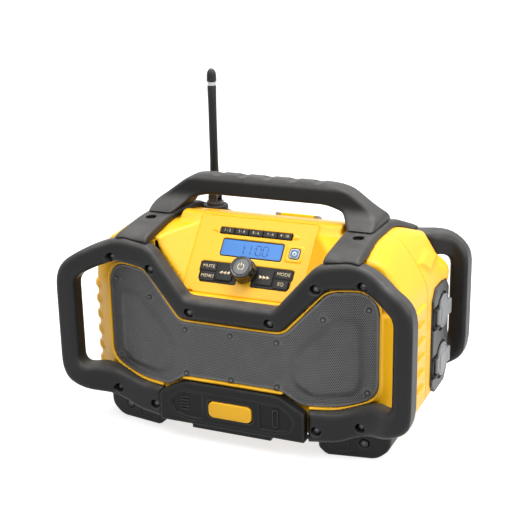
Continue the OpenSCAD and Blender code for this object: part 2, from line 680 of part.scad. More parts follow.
module main_board() color(board) {
    box([-84, pack_front - 7.6, pack_low + 22], [84, pack_front - 6, pack_low + 112]);
    for (x = [-50, 50], z = [pack_low + 32, pack_low + 102]) rod_y(x, z, 3, pack_front - 6, pack_front);
    box([-40, pack_front - 21, pack_low + 50], [-12, pack_front - 7.6, pack_low + 82]);
    box([20, pack_front - 17, pack_low + 40], [44, pack_front - 7.6, pack_low + 64]);
}
module amplifier_board() color(board) {
    box([84, 16, floor_in + 8], [154, 78, floor_in + 9.6]);
    for (x = [89, 149], y = [21, 73]) translate([x, y, floor_in]) cylinder(r = 3, h = 8);
}
fin_count = 8;
module heat_sink() color(steel) translate([92, 26, floor_in + 9.6]) {
    cube([54, 42, 4]);
    for (i = [0 : fin_count - 1]) translate([i * (54 - 2) / (fin_count - 1), 0, 4]) cube([2, 42, 22]);
}
module transformer() color(steel) {
    box([-152, 14, floor_in], [-90, 74, floor_in + 3]);
    box([-150, 26, floor_in + 3], [-92, 62, floor_in + 52]);
    box([-138, 16, floor_in + 10], [-104, 72, floor_in + 45]);
}

// ---------------------------------------------------------------- speakers

cone_h = 19;
// Inner depth of the basket: the cone, its throw and a gap.
basket_d = cone_h + cone_throw + 1.5;
magnet_r = 28;
magnet_t = 13;
module speaker_unit() color(steel) {
    difference() {
        union() {
            rod_y(0, 0, speaker_r + 8, speaker_seat - 2.5, speaker_seat);
            translate([0, speaker_seat, 0]) rotate([-90, 0, 0])
                cylinder(r1 = speaker_r - 1, r2 = 25, h = basket_d + 2.5);
            rod_y(0, 0, magnet_r, speaker_seat + basket_d + 2.5, speaker_seat + basket_d + 2.5 + magnet_t);
        }
        translate([0, speaker_seat, 0]) rotate([-90, 0, 0])
            cylinder(r1 = speaker_r - 2.8, r2 = 23, h = basket_d);
        rod_y(0, 0, speaker_r - 2.8, 0, speaker_seat);
    }
}
coil_r = 12;
module cone_unit() color(black) {
    difference() {
        translate([0, speaker_seat - 1.5, 0]) rotate([-90, 0, 0])
            cylinder(r1 = speaker_r - 5, r2 = coil_r, h = cone_h - 3);
        translate([0, speaker_seat - 1.6, 0]) rotate([-90, 0, 0])
            cylinder(r1 = speaker_r - 6.6, r2 = coil_r - 2, h = cone_h - 4);
    }
    rod_y(0, 0, coil_r, speaker_seat + cone_h - 4.6, speaker_seat + cone_h);
}
// The speaker's rim is notched around the grille's posts.
module seated_speaker(s) difference() {
    on_speaker(s) speaker_unit();
    grille_posts(gap / 2);
}
module speaker_left() seated_speaker(-1);
module speaker_right() seated_speaker(1);
module cone_left() on_speaker(-1) cone_unit();
module cone_right() on_speaker(1) cone_unit();

// ---------------------------------------------------------------- storage bay

bay_front = -body_front + 12;
bay_back = -42;
bay_t = 2.4;
door_front = -cage_front;
door_back = -body_front + 9;
latch_low = 38.5;
latch_h = 20.5;
lip_half = 52;
module storage_bay() color(black) difference() {
    box([-bay_w / 2, bay_front, floor_in], [bay_w / 2, bay_back, floor_in + bay_h]);
    box([-bay_w / 2 + bay_t, -big, floor_in + bay_t],
        [bay_w / 2 - bay_t, bay_back - bay_t, floor_in + bay_h - bay_t]);
}
module latch_box(g, y0, y1) box([-latch_w / 2 - g, y0, latch_low - g],
    [latch_w / 2 + g, y1, latch_low + latch_h + g]);
module storage_door() color(black) {
    difference() {
        through_y(door_front, door_back) polygon(door_outline);
        latch_box(gap / 2, door_front - 1, door_front + 8.5);
    }
    mirrored() rod_x(hinge_y, hinge_z, pin_r, door_w / 2 - 3, door_seam + 4);
    box([-lip_half, door_front + 2, cage_low - 3], [lip_half, door_back - 4, cage_low + 4]);
}
module storage_latch() color(yellow) latch_box(0, door_front - 2, door_front + 5.5);
module aux_board() color(board) {
    box([10, bay_back - bay_t - 1.6, floor_in + 6], [62, bay_back - bay_t, floor_in + 28]);
    box([16, bay_back - bay_t - 9, floor_in + 10], [30, bay_back - bay_t - 1.6, floor_in + 17]);
    rod_y(46, floor_in + 14, 4, bay_back - bay_t - 8, bay_back - bay_t - 1.6);
}

// ---------------------------------------------------------------- battery bay

pack_front = 34;
pack_t = 2.8;
door_t = 6;
recess_y = body_rear - 4;
module battery_bay() color(black) difference() {
    box([-pack_w / 2, pack_front, pack_low], [pack_w / 2, recess_y, pack_low + pack_h]);
    box([-pack_w / 2 + pack_t, pack_front + pack_t, pack_low + pack_t],
        [pack_w / 2 - pack_t, big, pack_low + pack_h - pack_t]);
}
module battery_terminals() color(steel) {
    box([-24, pack_front + pack_t, pack_low + 34], [24, pack_front + pack_t + 14, pack_low + 78]);
    for (i = [-2 : 2]) box([i * 8 - 1, pack_front + pack_t + 14, pack_low + 40],
        [i * 8 + 1, pack_front + pack_t + 26, pack_low + 70]);
}
clip_y = body_rear + 6.5;
clip_z = pack_door_top + 5;
clip_half = 31;
module battery_door() color(black) {
    box([-pack_door_w / 2, recess_y + 1, pack_low - 8],
        [pack_door_w / 2, recess_y + 1 + door_t, pack_door_top]);
    box([-pack_door_w / 2, recess_y + 3, pack_hinge_z], [pack_door_w / 2, pack_hinge_y, pack_hinge_z + 4.5]);
    rod_x(pack_hinge_y, pack_hinge_z, 4.5, -pack_door_w / 2, pack_door_w / 2);
    mirrored() rod_x(pack_hinge_y, pack_hinge_z, pin_r, pack_door_w / 2 - 3, pack_door_w / 2 + gap * 2 + 5);
    mirrored() difference() {
        box([clip_half + gap, recess_y + 1 + door_t - 0.5, pack_door_top - 12],
            [clip_half + gap + 5, clip_y + 4, clip_z + 4]);
        rod_x(clip_y, clip_z, 1.8 + run, clip_half, clip_half + 8);
    }
}
module battery_latch() color(yellow) {
    through_x(-clip_half, clip_half) polygon([[clip_y - 19, clip_z + 14], [clip_y - 18, clip_z + 18],
        [clip_y - 10, clip_z + 15], [clip_y + 2.5, clip_z + 3.5], [clip_y + 2.5, clip_z - 3],
        [clip_y - 2, clip_z - 3], [clip_y - 2.4, clip_z + 2]]);
    mirrored() rod_x(clip_y, clip_z, 1.8, clip_half - 2, clip_half + 5);
}

// ---------------------------------------------------------------- side sockets

socket_y = plate_y + 39;
flap_z = [143, 79];
socket_r = 19.8;
socket_depth = 17.5;
flap_hinge_x = side_x + 3;
flap_hinge_y = socket_y - flap_d / 2 - 3;
barrel_r = 2.6;
barrel_half = 9;
ear_t = 4;
pull_half = 10;
window_g = 1.5;
// Outline of the socket's window in the plate (y, z): the flap's circle and the hinge's notch; g widens it.
module socket_window(z, g) union() {
    rod_x(socket_y, z, flap_d / 2 + g, side_x - wall - 8, side_x + 5);
    box([side_x - wall - 8, flap_hinge_y - 11 - g, z - barrel_half - ear_t - g],
        [side_x + 5, socket_y, z + barrel_half + ear_t + g]);
}
module socket_plate() color("lightgray") difference() {
    through_x(side_x - wall - 2, side_x + 1.6) polygon(plate_outline);
    for (z = flap_z) socket_window(z, window_g);
}
module rod_z(x, y, r, z0, z1) translate([x, y, z0]) cylinder(r = r, h = z1 - z0);
module socket_modules() color(black) for (z = flap_z) difference() {
    union() {
        intersection() {
            socket_window(z, window_g - 0.2);
            box([side_x - wall - 2, -big, 0], [side_x - 0.6, big, big]);
        }
        rod_x(socket_y, z, socket_r + 3, side_x - socket_depth - 6, side_x - wall - 2);
        for (e = [-1, 1]) translate([0, 0, z + e * (barrel_half + gap + ear_t / 2)])
            box([side_x - 1, flap_hinge_y - 10, -ear_t / 2 + 0.4],
                [flap_hinge_x + 2.6, flap_hinge_y + 2.6, ear_t / 2 - 0.4]);
        box([side_x - 1, flap_hinge_y - 10, z - barrel_half - gap - 1],
            [side_x + 1.6, flap_hinge_y - 4, z + barrel_half + gap + 1]);
    }
    rod_x(socket_y, z, socket_r, side_x - socket_depth, side_x + 20);
    rod_z(flap_hinge_x, flap_hinge_y, flap_pin_r + run, z - 40, z + 40);
}
flap_pin_r = 1.2;
module flap(z) color("gainsboro") {
    rod_x(socket_y, z, flap_d / 2, side_x + 0.6, side_x + 4);
    box([flap_hinge_x - 1.2, flap_hinge_y, z - barrel_half], [flap_hinge_x + 1, socket_y, z + barrel_half]);
    rod_z(flap_hinge_x, flap_hinge_y, barrel_r, z - barrel_half, z + barrel_half);
    rod_z(flap_hinge_x, flap_hinge_y, flap_pin_r, z - barrel_half - gap - 3, z + barrel_half + gap + 3);
    box([side_x + 3, socket_y - 14, z - pull_half], [side_x + 5.2, socket_y + flap_d / 2 - 1, z + pull_half]);
    box([side_x + 4, socket_y + 8, z - pull_half], [side_x + 7, socket_y + flap_d / 2 + 1, z + pull_half]);
}
module flap_upper() flap(flap_z[0]);
module flap_lower() flap(flap_z[1]);
module mains_inlet() color(black) difference() {
    union() {
        rod_x(inlet_y, inlet_z, inlet_r, -side_x - 8, -side_x + wall + 8);
        rod_x(inlet_y, inlet_z, inlet_r + 3, -side_x - 3, -side_x);
        rod_x(inlet_y, inlet_z, inlet_r + 3, -side_x + wall, -side_x + wall + 4);
    }
    rod_x(inlet_y, inlet_z, 3.6, -side_x - 20, -side_x + 30);
}

// ---------------------------------------------------------------- antenna

mast_x = -102;
mast_y = 64;
mount_top = ridge_z - 14;
pivot_z = mount_top + 11;
fork_r = 2;
mount_r = 17;
mast_neck = 4;
mast_tip = 17;
// Silhouette of the mast above its root: a slim rod, a recessed ring and a bullet tip.
mast_top = antenna_l - 8;
mast_profile = concat([[0, 0], [antenna_r - 0.2, 0], [antenna_r - 0.6, mast_top - mast_tip - mast_neck],
    [antenna_r - 1, mast_top - mast_tip - mast_neck], [antenna_r - 1, mast_top - mast_tip],
    [antenna_r, mast_top - mast_tip], [antenna_r - 0.2, mast_top - 9]],
    [for (k = [1 : 6]) [(antenna_r - 0.2) * cos(k * 15), mast_top - 9 + 9 * sin(k * 15)]]);
module antenna_mount() color(black) difference() {
    translate([mast_x, mast_y, 0]) union() {
        translate([0, 0, mount_top - 26]) cylinder(r = mount_r, h = 23);
        translate([0, 0, mount_top - 3]) cylinder(r1 = mount_r, r2 = mount_r - 3, h = 3);
    }
    body_outer();
    translate([mast_x, mast_y, mount_top - 7]) cylinder(r = 5 + run, h = 10);
    cage_solid_rear();
}
module antenna_knuckle() color(black) translate([mast_x, mast_y, 0]) difference() {
    union() {
        translate([0, 0, mount_top - 6.5]) cylinder(r = 5, h = 7.5);
        translate([0, 0, mount_top + 0.3]) cylinder(r = 11, h = 3.5);
        for (s = [-1, 1]) {
            box([-6, s > 0 ? 5.2 : -8.4, mount_top + 3], [6, s > 0 ? 8.4 : -5.2, pivot_z]);
            rod_y(0, pivot_z, 6, s > 0 ? 5.2 : -8.4, s > 0 ? 8.4 : -5.2);
        }
        rod_y(0, pivot_z, fork_r, -6, 6);
    }
}
module antenna_mast() color(black) translate([mast_x, mast_y, 0]) difference() {
    union() {
        rod_y(0, pivot_z, 5, -5, 5);
        box([-5, -5, pivot_z], [5, 5, pivot_z + 9]);
        translate([0, 0, pivot_z + 8]) rotate_extrude() polygon(mast_profile);
    }
    rod_y(0, pivot_z, fork_r + run, -9, 9);
}

// ---------------------------------------------------------------- screws

// A screw whose head bears at y and whose shank ends at y1.
module pan_screw(x, z, y, y1) {
    rod_y(x, z, head_r, y - head_h, y);
    rod_y(x, z, shank_r, y, y1);
}
module screws() color(steel) {
    for (p = cage_screws, s = [-1, 1])
        pan_screw(s * p[0], p[1], -band_front(p[0]) + hole_depth, -seat_at(p[0]) + bite);
    mirror([0, 1, 0]) for (p = rear_screws, s = [-1, 1])
        pan_screw(s * p[0], p[1], -rear_front(p[0]) + hole_depth, -rear_seat_at(p[0]) + bite);
    for (s = [-1, 1], f = [0, 1]) mirror([0, f, 0])
        pan_screw(s * foot_screw_x, foot_screw_z, foot_seat, foot_seat + lug_gap + bite);
    for (p = grille_screws, s = p[0] > 0 ? [-1, 1] : [1]) at_facet(s * p[0], p[1]) {
        rod_y(0, 0, grille_head_r, -0.8, cos(sweep));
        rod_y(0, 0, grille_shank_r, 0, grille_depth + grille_bite);
    }
}

// ---------------------------------------------------------------- assembly

front_housing();
rear_housing();
control_panel();
speaker_grille();
front_cage();
rear_cage();
handle();
saddle_left();
saddle_right();
foot_front_left();
foot_front_right();
foot_rear_left();
foot_rear_right();
display_lens();
display_module();
keypad_bezel();
key_mute();
key_menu();
key_prev();
key_next();
key_mode();
key_eq();
preset_1();
preset_2();
preset_3();
preset_4();
preset_5();
pair_button();
knob();
encoder_shaft();
encoder_plunger();
encoder_body();
keypad_board();
main_board();
amplifier_board();
heat_sink();
transformer();
speaker_left();
speaker_right();
cone_left();
cone_right();
storage_bay();
storage_door();
storage_latch();
aux_board();
battery_bay();
battery_terminals();
battery_door();
battery_latch();
socket_plate();
socket_modules();
flap_upper();
flap_lower();
antenna_mount();
antenna_knuckle();
antenna_mast();
mains_inlet();
screws();
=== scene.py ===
import math

import bmesh
import bpy
import numpy as np
from mathutils import Matrix, Vector


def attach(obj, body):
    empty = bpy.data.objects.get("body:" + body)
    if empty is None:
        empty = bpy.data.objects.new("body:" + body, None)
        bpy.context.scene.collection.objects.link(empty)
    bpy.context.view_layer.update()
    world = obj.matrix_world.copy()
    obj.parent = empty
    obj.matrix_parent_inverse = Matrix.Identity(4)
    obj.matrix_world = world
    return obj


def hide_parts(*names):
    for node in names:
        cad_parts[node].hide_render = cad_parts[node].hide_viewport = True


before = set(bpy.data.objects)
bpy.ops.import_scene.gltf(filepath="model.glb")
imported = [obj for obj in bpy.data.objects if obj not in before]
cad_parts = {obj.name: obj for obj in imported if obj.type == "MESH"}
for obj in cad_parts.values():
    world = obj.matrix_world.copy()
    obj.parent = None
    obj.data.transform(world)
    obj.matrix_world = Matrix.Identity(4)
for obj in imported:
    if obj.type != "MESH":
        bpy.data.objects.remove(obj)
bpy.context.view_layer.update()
print("frame loaded")

# Sizes in millimetres. The front faces -Y, +X is to the right, the feet stand on z = 0.
body = {"halfWidth": 207.0, "front": 118.0, "rear": 109.0, "floor": 30.0, "ridge": 264.0, "shoulder": 253.0,
        "wall": 3.2, "sweep": math.radians(12.8), "flatX": 59.0, "faceX": 178.0, "notchHalf": 108.0, "edge": 5.0}
panel = {"y": -68.4, "z": 207.7, "tilt": math.radians(50), "half": 76.0, "high": 69.6}
cage = {"loopX": 228.0, "loopIn": 202.0, "loopY": 135.0, "loopBack": 109.0, "front": 123.0, "top": 246.0,
        "low": 22.0, "bandTop": 184.0, "bandLow": 158.0, "seatY": 96.0, "seatSlope": 0.17, "doorSeam": 95.5}
body["faceY"] = body["front"] - (body["faceX"] - body["flatX"]) * math.tan(body["sweep"])
body["flankY"] = body["faceY"] - 18


# Outlines and distance fields. A field is below zero inside its form.
def bothSides(half):
    return list(half) + [(-x, *rest) for x, *rest in reversed(half)]


# A closed outline of (a, b, corner length) with its corners rounded.
def soften(points, steps=6):
    out = []
    for i, (x, y, length) in enumerate(points):
        corner = np.array((x, y), float)
        if length <= 0:
            out.append(corner)
            continue
        ends = []
        for other in (points[i - 1], points[(i + 1) % len(points)]):
            along = np.array(other[:2], float) - corner
            ends.append(corner + along * min(length / np.linalg.norm(along), 0.49))
        for t in np.linspace(0, 1, steps + 1):
            out.append((1 - t) ** 2 * ends[0] + 2 * t * (1 - t) * corner + t * t * ends[1])
    return np.array(out)


def mirrored(half, steps=6):
    return soften(bothSides(half), steps)


def distance(points, a, b):
    a, b = np.broadcast_arrays(a, b)
    best = np.full(a.shape, 1e9)
    inside = np.zeros(a.shape, bool)
    for p, q in zip(points, np.roll(points, -1, 0)):
        ex, ey = q - p
        wx, wy = a - p[0], b - p[1]
        t = np.clip((wx * ex + wy * ey) / max(ex * ex + ey * ey, 1e-9), 0, 1)
        best = np.minimum(best, (wx - ex * t) ** 2 + (wy - ey * t) ** 2)
        if abs(ey) > 1e-9:
            inside ^= ((p[1] > b) != (q[1] > b)) & (a < p[0] + wy * ex / ey)
    return np.where(inside, -np.sqrt(best), np.sqrt(best))


# The overlap of two forms with its edge rounded, and their union with its inner corner filled.
def roundBoth(a, b, r):
    return np.minimum(np.maximum(a + r, b + r), 0) + np.hypot(np.maximum(a + r, 0), np.maximum(b + r, 0)) - r


def roundEither(a, b, r):
    return np.maximum(np.minimum(a - r, b - r), 0) - np.hypot(np.minimum(a - r, 0), np.minimum(b - r, 0)) + r


def every(first, *others):
    for other in others:
        first = np.maximum(first, other)
    return first


def either(first, *others):
    for other in others:
        first = np.minimum(first, other)
    return first


def less(form, gap, r=0):
    return roundBoth(form, -gap, r) if r else np.maximum(form, -gap)


def between(a, low, high):
    return np.abs(a - (low + high) / 2) - (high - low) / 2


def near(a, middle, half):
    return np.abs(a - middle) - half


# A round bar through a point, seen along its length.
def rod(a, b, point, radius):
    return np.hypot(a - point[0], b - point[1]) - radius


def fromScrew(x, z, spot):
    return np.hypot(np.abs(x) - spot[0], z - spot[1])


# A height that rises smoothly as t goes from 0 to 1.
def eased(height, t):
    return height * t * t * (3 - 2 * t)


# Three axes of points, and the grid's own (corner, step).
def gridOf(low, high, step):
    x, y, z = [np.arange(a, b + step, step) for a, b in zip(low, high)]
    return x[:, None, None], y[None, :, None], z[None, None, :], (low, step)


# The zero surface of a field as points and quads: one point in each cell that the surface crosses.
def surfaceOf(field, grid):
    low, step = grid
    field = field.astype(np.float32)
    inside = field < 0
    size = np.array(field.shape)
    corners = [(i, j, k) for i in (0, 1) for j in (0, 1) for k in (0, 1)]
    count = sum(inside[i:size[0] - 1 + i, j:size[1] - 1 + j, k:size[2] - 1 + k].astype(np.uint8)
                for i, j, k in corners)
    cells = np.argwhere((count > 0) & (count < 8))
    number = np.full(size - 1, -1, np.int64)
    number[tuple(cells.T)] = np.arange(len(cells))
    total, hits = np.zeros((len(cells), 3)), np.zeros((len(cells), 1))
    for a in corners:
        for axis in range(3):
            if a[axis]:
                continue
            b = tuple(1 if n == axis else a[n] for n in range(3))
            fa, fb = field[tuple((cells + a).T)], field[tuple((cells + b).T)]
            cross = (fa < 0) != (fb < 0)
            t = np.where(cross, fa / np.where(cross, fa - fb, 1), 0)
            point = np.array(a) + t[:, None] * (np.array(b) - np.array(a))
            total += np.where(cross[:, None], point, 0)
            hits += cross[:, None]
    points = np.array(low) + step * (cells + total / hits)
    faces = []
    for axis in range(3):
        u, v = (axis + 1) % 3, (axis + 2) % 3
        first = [slice(1, -1)] * 3
        first[axis] = slice(0, -1)
        second = list(first)
        second[axis] = slice(1, None)
        fa, fb = inside[tuple(first)], inside[tuple(second)]
        for start, flip in ((fa & ~fb, False), (~fa & fb, True)):
            at = np.argwhere(start) + [0 if n == axis else 1 for n in range(3)]
            ring = []
            for du, dv in ((-1, -1), (0, -1), (0, 0), (-1, 0)):
                cell = at.copy()
                cell[:, u] += du
                cell[:, v] += dv
                ring.append(number[tuple(cell.T)])
            faces.append(np.stack(ring[::-1] if flip else ring, 1))
    return points, np.concatenate(faces)


# Axes. The control panel's own run across, up its slope and off its face.
def asItIs(x, y, z):
    return np.stack(np.broadcast_arrays(x, y, z), -1)


def panelPoint(u, v, w):
    c, s = math.cos(panel["tilt"]), math.sin(panel["tilt"])
    return asItIs(u, panel["y"] + v * c - w * s, panel["z"] + v * s + w * c)


def onPanel(y, z):
    c, s = math.cos(panel["tilt"]), math.sin(panel["tilt"])
    return (y - panel["y"]) * c + (z - panel["z"]) * s, (z - panel["z"]) * c - (y - panel["y"]) * s


# Meshes, made in millimetres.
def meshFrom(name, points, faces):
    mesh = bpy.data.meshes.new(name)
    points = np.asarray(points, float) * 0.001
    if isinstance(faces, np.ndarray):
        mesh.vertices.add(len(points))
        mesh.vertices.foreach_set("co", points.ravel())
        sides = faces.shape[1]
        mesh.loops.add(faces.size)
        mesh.loops.foreach_set("vertex_index", faces.ravel())
        mesh.polygons.add(len(faces))
        mesh.polygons.foreach_set("loop_start", np.arange(0, faces.size, sides))
        mesh.polygons.foreach_set("loop_total", np.full(len(faces), sides))
        mesh.update(calc_edges=True)
        mesh.validate()
    else:
        mesh.from_pydata(points.tolist(), [], faces)
    return mesh


def coordinates(mesh):
    co = np.empty(len(mesh.vertices) * 3)
    mesh.vertices.foreach_get("co", co)
    return co.reshape(-1, 3)


def moveTo(mesh, points):
    mesh.vertices.foreach_set("co", (points * 0.001).ravel())


# The plain mesh of a curve, or of a mesh with the modifiers that a function adds.
def evaluated(data, prepare=None):
    holder = bpy.data.objects.new("holder", data)
    bpy.context.collection.objects.link(holder)
    if prepare:
        prepare(holder)
    mesh = bpy.data.meshes.new_from_object(holder.evaluated_get(bpy.context.evaluated_depsgraph_get()))
    bpy.data.objects.remove(holder)
    return mesh


def tidied(mesh, within=1e-6):
    work = bmesh.new()
    work.from_mesh(mesh)
    bmesh.ops.remove_doubles(work, verts=work.verts, dist=within)
    bmesh.ops.recalc_face_normals(work, faces=work.faces)
    work.to_mesh(mesh)
    work.free()
    return mesh


def joined(meshes):
    work = bmesh.new()
    for mesh in meshes:
        work.from_mesh(mesh)
    out = bpy.data.meshes.new("joined")
    work.to_mesh(out)
    work.free()
    return out


# Puts a finished mesh in the scene on its body.
def place(name, mesh, look, rides, replaces=(), smooth=True):
    piece = bpy.data.objects.new(name, mesh)
    bpy.context.collection.objects.link(piece)
    mesh.materials.clear()
    mesh.materials.append(finishes[look])
    mesh.polygons.foreach_set("use_smooth", [smooth] * len(mesh.polygons))
    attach(piece, rides)
    if replaces:
        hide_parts(*replaces)


# A piece from a distance field, thinned to a share of its faces.
def moulded(name, field, grid, look, rides, replaces=(), keep=1.0, toWorld=asItIs):
    def thin(holder):
        holder.modifiers.new("decimate", "DECIMATE").ratio = keep

    points, faces = surfaceOf(field, grid)
    mesh = evaluated(meshFrom(name, toWorld(*points.T), faces), thin)
    print(name, len(mesh.polygons), "faces")
    place(name, mesh, look, rides, replaces)


# A flat block with rounded edges from closed outlines; inner outlines are holes.
def slabMesh(loops, low, high, bevel=0.0, steps=2, toWorld=panelPoint):
    curve = bpy.data.curves.new("outline", "CURVE")
    curve.dimensions = "2D"
    curve.fill_mode = "BOTH"
    for loop in loops:
        spline = curve.splines.new("POLY")
        spline.points.add(len(loop) - 1)
        for point, (a, b) in zip(spline.points, loop):
            point.co = (a, b, 0, 1)
        spline.use_cyclic_u = True
    curve.extrude = (high - low) / 2 - bevel
    curve.bevel_depth = bevel
    curve.bevel_resolution = steps
    curve.offset = -bevel
    mesh = evaluated(curve)
    a, b, c = coordinates(mesh).T
    moveTo(mesh, toWorld(a, b, c + (low + high) / 2))
    return tidied(mesh)


# Raised generic lettering, centred on a point of the panel's face.
def textMesh(words, size, middle, height=0.1, spread=1.0):
    curve = bpy.data.curves.new("words", "FONT")
    curve.body = words
    curve.size = size
    curve.align_x = curve.align_y = "CENTER"
    curve.extrude = height / 2
    curve.space_character = spread
    mesh = evaluated(curve)
    a, b, c = coordinates(mesh).T
    moveTo(mesh, panelPoint(a + middle[0], b + middle[1], c + middle[2] + height / 2))
    return tidied(mesh, 1e-7)


# A closed turned form from (radius, height) points that start and end on the axis.
def latheMesh(profile, sides, toWorld):
    angles = np.linspace(0, 2 * math.pi, sides, endpoint=False)
    points, faces = [(0, 0, profile[0][1])], []
    rings = profile[1:-1]
    for r, h in rings:
        points += [(r * math.cos(a), r * math.sin(a), h) for a in angles]
    points.append((0, 0, profile[-1][1]))
    end = 1 + (len(rings) - 1) * sides
    for k in range(sides):
        n = (k + 1) % sides
        faces.append((0, 1 + n, 1 + k))
        for i in range(len(rings) - 1):
            a, b = 1 + i * sides, 1 + (i + 1) * sides
            faces.append((a + k, a + n, b + n, b + k))
        faces.append((end + k, end + n, len(points) - 1))
    return tidied(meshFrom("turned", toWorld(*np.array(points).T), faces), 1e-7)


# Node trees. Inputs are numbers or the name of a socket type.
def newTree(name, kind, inputs, outputs, outputKind="NodeSocketFloat"):
    tree = bpy.data.node_groups.new(name, kind)
    for label, value in inputs.items():
        if isinstance(value, str):
            tree.interface.new_socket(label, in_out="INPUT", socket_type=value)
        else:
            socket = tree.interface.new_socket(label, in_out="INPUT", socket_type="NodeSocketFloat")
            socket.default_value = value
    for label in outputs:
        tree.interface.new_socket(label, in_out="OUTPUT", socket_type=outputKind)
    return tree, tree.nodes.new("NodeGroupInput"), tree.nodes.new("NodeGroupOutput")


# One node with its settings, and its sockets fed from values or other sockets.
def addNode(tree, kind, links=(), **settings):
    node = tree.nodes.new(kind)
    for key, value in settings.items():
        setattr(node, key, value)
    for key, source in dict(links).items():
        if isinstance(source, bpy.types.NodeSocket):
            tree.links.new(source, node.inputs[key])
        else:
            node.inputs[key].default_value = source
    return node


def firstOut(tree, kind, links=(), **settings):
    return addNode(tree, kind, links, **settings).outputs[0]


def calc(tree, operation, *sources, clamp=False):
    return firstOut(tree, "ShaderNodeMath", enumerate(sources), operation=operation, use_clamp=clamp)


def noise(tree, scale, detail, roughness=0.5):
    at = addNode(tree, "ShaderNodeTexCoord").outputs["Object"]
    return firstOut(tree, "ShaderNodeTexNoise",
                    {"Vector": at, "Scale": scale, "Detail": detail, "Roughness": roughness})


def mixed(tree, share, first, second):
    return addNode(tree, "ShaderNodeMix", {"Factor": share, "A": first, "B": second},
                   data_type="RGBA").outputs["Result"]


# Fine moulded texture: two sizes of grain for the bump, and slow clouds for tone and gloss.
def makeGrainGroup():
    group, source, sink = newTree(
        "mouldedGrain", "ShaderNodeTree",
        {"Grain Size": 900.0, "Cloud Size": 18.0, "Gloss": 0.45, "Gloss Spread": 0.1},
        ("Height", "Roughness", "Cloud"))
    given = source.outputs
    at = addNode(group, "ShaderNodeTexCoord").outputs["Object"]
    pores = addNode(group, "ShaderNodeTexVoronoi", {"Vector": at, "Scale": given["Grain Size"]})
    fine = noise(group, given["Grain Size"], 2.0)
    cloud = noise(group, given["Cloud Size"], 4.0, 0.6)
    height = calc(group, "MULTIPLY_ADD", pores.outputs["Distance"], 0.6, fine)
    gloss = calc(group, "MULTIPLY_ADD", calc(group, "SUBTRACT", cloud, 0.5), given["Gloss Spread"], given["Gloss"])
    for label, value in (("Height", height), ("Roughness", gloss), ("Cloud", cloud)):
        group.links.new(value, sink.inputs[label])
    return group


# A mask of edges, broken up by noise: partly rubbed wear, partly a painted highlight along edges that would catch the
# light.
def makeWearAndHighlightGroup():
    group, source, sink = newTree("edgeWearAndHighlight", "ShaderNodeTree",
                                  {"Amount": 0.5, "Breakup Size": 60.0, "Sharpness": 12.0}, ["Mask"])
    pointed = addNode(group, "ShaderNodeNewGeometry").outputs["Pointiness"]
    strong = calc(group, "MULTIPLY", calc(group, "SUBTRACT", pointed, 0.505), source.outputs["Sharpness"])
    broken = calc(group, "MULTIPLY", strong, noise(group, source.outputs["Breakup Size"], 3.0), clamp=True)
    mask = calc(group, "MULTIPLY", broken, source.outputs["Amount"], clamp=True)
    group.links.new(mask, sink.inputs["Mask"])
    return group


# A mask of dust that settles on what faces up.
def makeDustGroup():
    group, source, sink = newTree("settledDust", "ShaderNodeTree", {"Amount": 0.2, "Patch Size": 35.0}, ["Mask"])
    normal = addNode(group, "ShaderNodeNewGeometry").outputs["Normal"]
    up = addNode(group, "ShaderNodeSeparateXYZ", {0: normal}).outputs["Z"]
    level = calc(group, "MULTIPLY", up, noise(group, source.outputs["Patch Size"], 5.0, 0.65), clamp=True)
    mask = calc(group, "MULTIPLY", level, source.outputs["Amount"], clamp=True)
    group.links.new(mask, sink.inputs["Mask"])
    return group


grainGroup, wearAndHighlightGroup, dustGroup = makeGrainGroup(), makeWearAndHighlightGroup(), makeDustGroup()


def srgb(r, g, b):
    def linear(c):
        c /= 255
        return c / 12.92 if c <= 0.04045 else ((c + 0.055) / 1.055) ** 2.4
    return (linear(r), linear(g), linear(b), 1.0)


def finish(name, look):
    look = {**plain, **look}
    material = bpy.data.materials.new(name)
    material.use_nodes = True
    tree = material.node_tree
    tree.nodes.clear()
    grain = addNode(tree, "ShaderNodeGroup", node_tree=grainGroup)
    wearAndHighlight = addNode(tree, "ShaderNodeGroup", node_tree=wearAndHighlightGroup)
    dust = addNode(tree, "ShaderNodeGroup", node_tree=dustGroup)
    for node, label, key in ((grain, "Grain Size", "grain"), (grain, "Cloud Size", "cloud"), (grain, "Gloss", "rough"),
                             (grain, "Gloss Spread", "spread"), (wearAndHighlight, "Amount", "wearAndHighlight"),
                             (wearAndHighlight, "Breakup Size", "wearAndHighlightSize"), (dust, "Amount", "dust")):
        node.inputs[label].default_value = look[key]
    tone = mixed(tree, grain.outputs["Cloud"], srgb(*look["colour"]), srgb(*look["second"]))
    # edges take a lighter colour: partly rubbed wear, partly a painted highlight
    wornAndLit = mixed(tree, wearAndHighlight.outputs["Mask"], tone, srgb(*look["rubbedAndLit"]))
    colour = mixed(tree, dust.outputs["Mask"], wornAndLit, srgb(186, 182, 176))
    if "recess" in look:  # a painted glint in the drive of a screw
        mark = addNode(tree, "ShaderNodeAttribute", attribute_name="recess")
        colour = mixed(tree, mark.outputs["Fac"], colour, srgb(*look["recess"]))
    bump = addNode(tree, "ShaderNodeBump", {"Height": grain.outputs["Height"], "Strength": look["bump"],
                                            "Distance": 0.00015})
    shader = addNode(tree, "ShaderNodeBsdfPrincipled", {
        "Base Color": colour, "Roughness": grain.outputs["Roughness"], "Normal": bump.outputs["Normal"],
        "Metallic": look["metal"], "Specular IOR Level": look["specular"], "Coat Weight": look["coat"],
        "Coat Roughness": look["coatRough"], "Emission Color": srgb(*look["glow"]),
        "Emission Strength": look["glowStrength"]})
    addNode(tree, "ShaderNodeOutputMaterial", {"Surface": shader.outputs[0]})
    return material
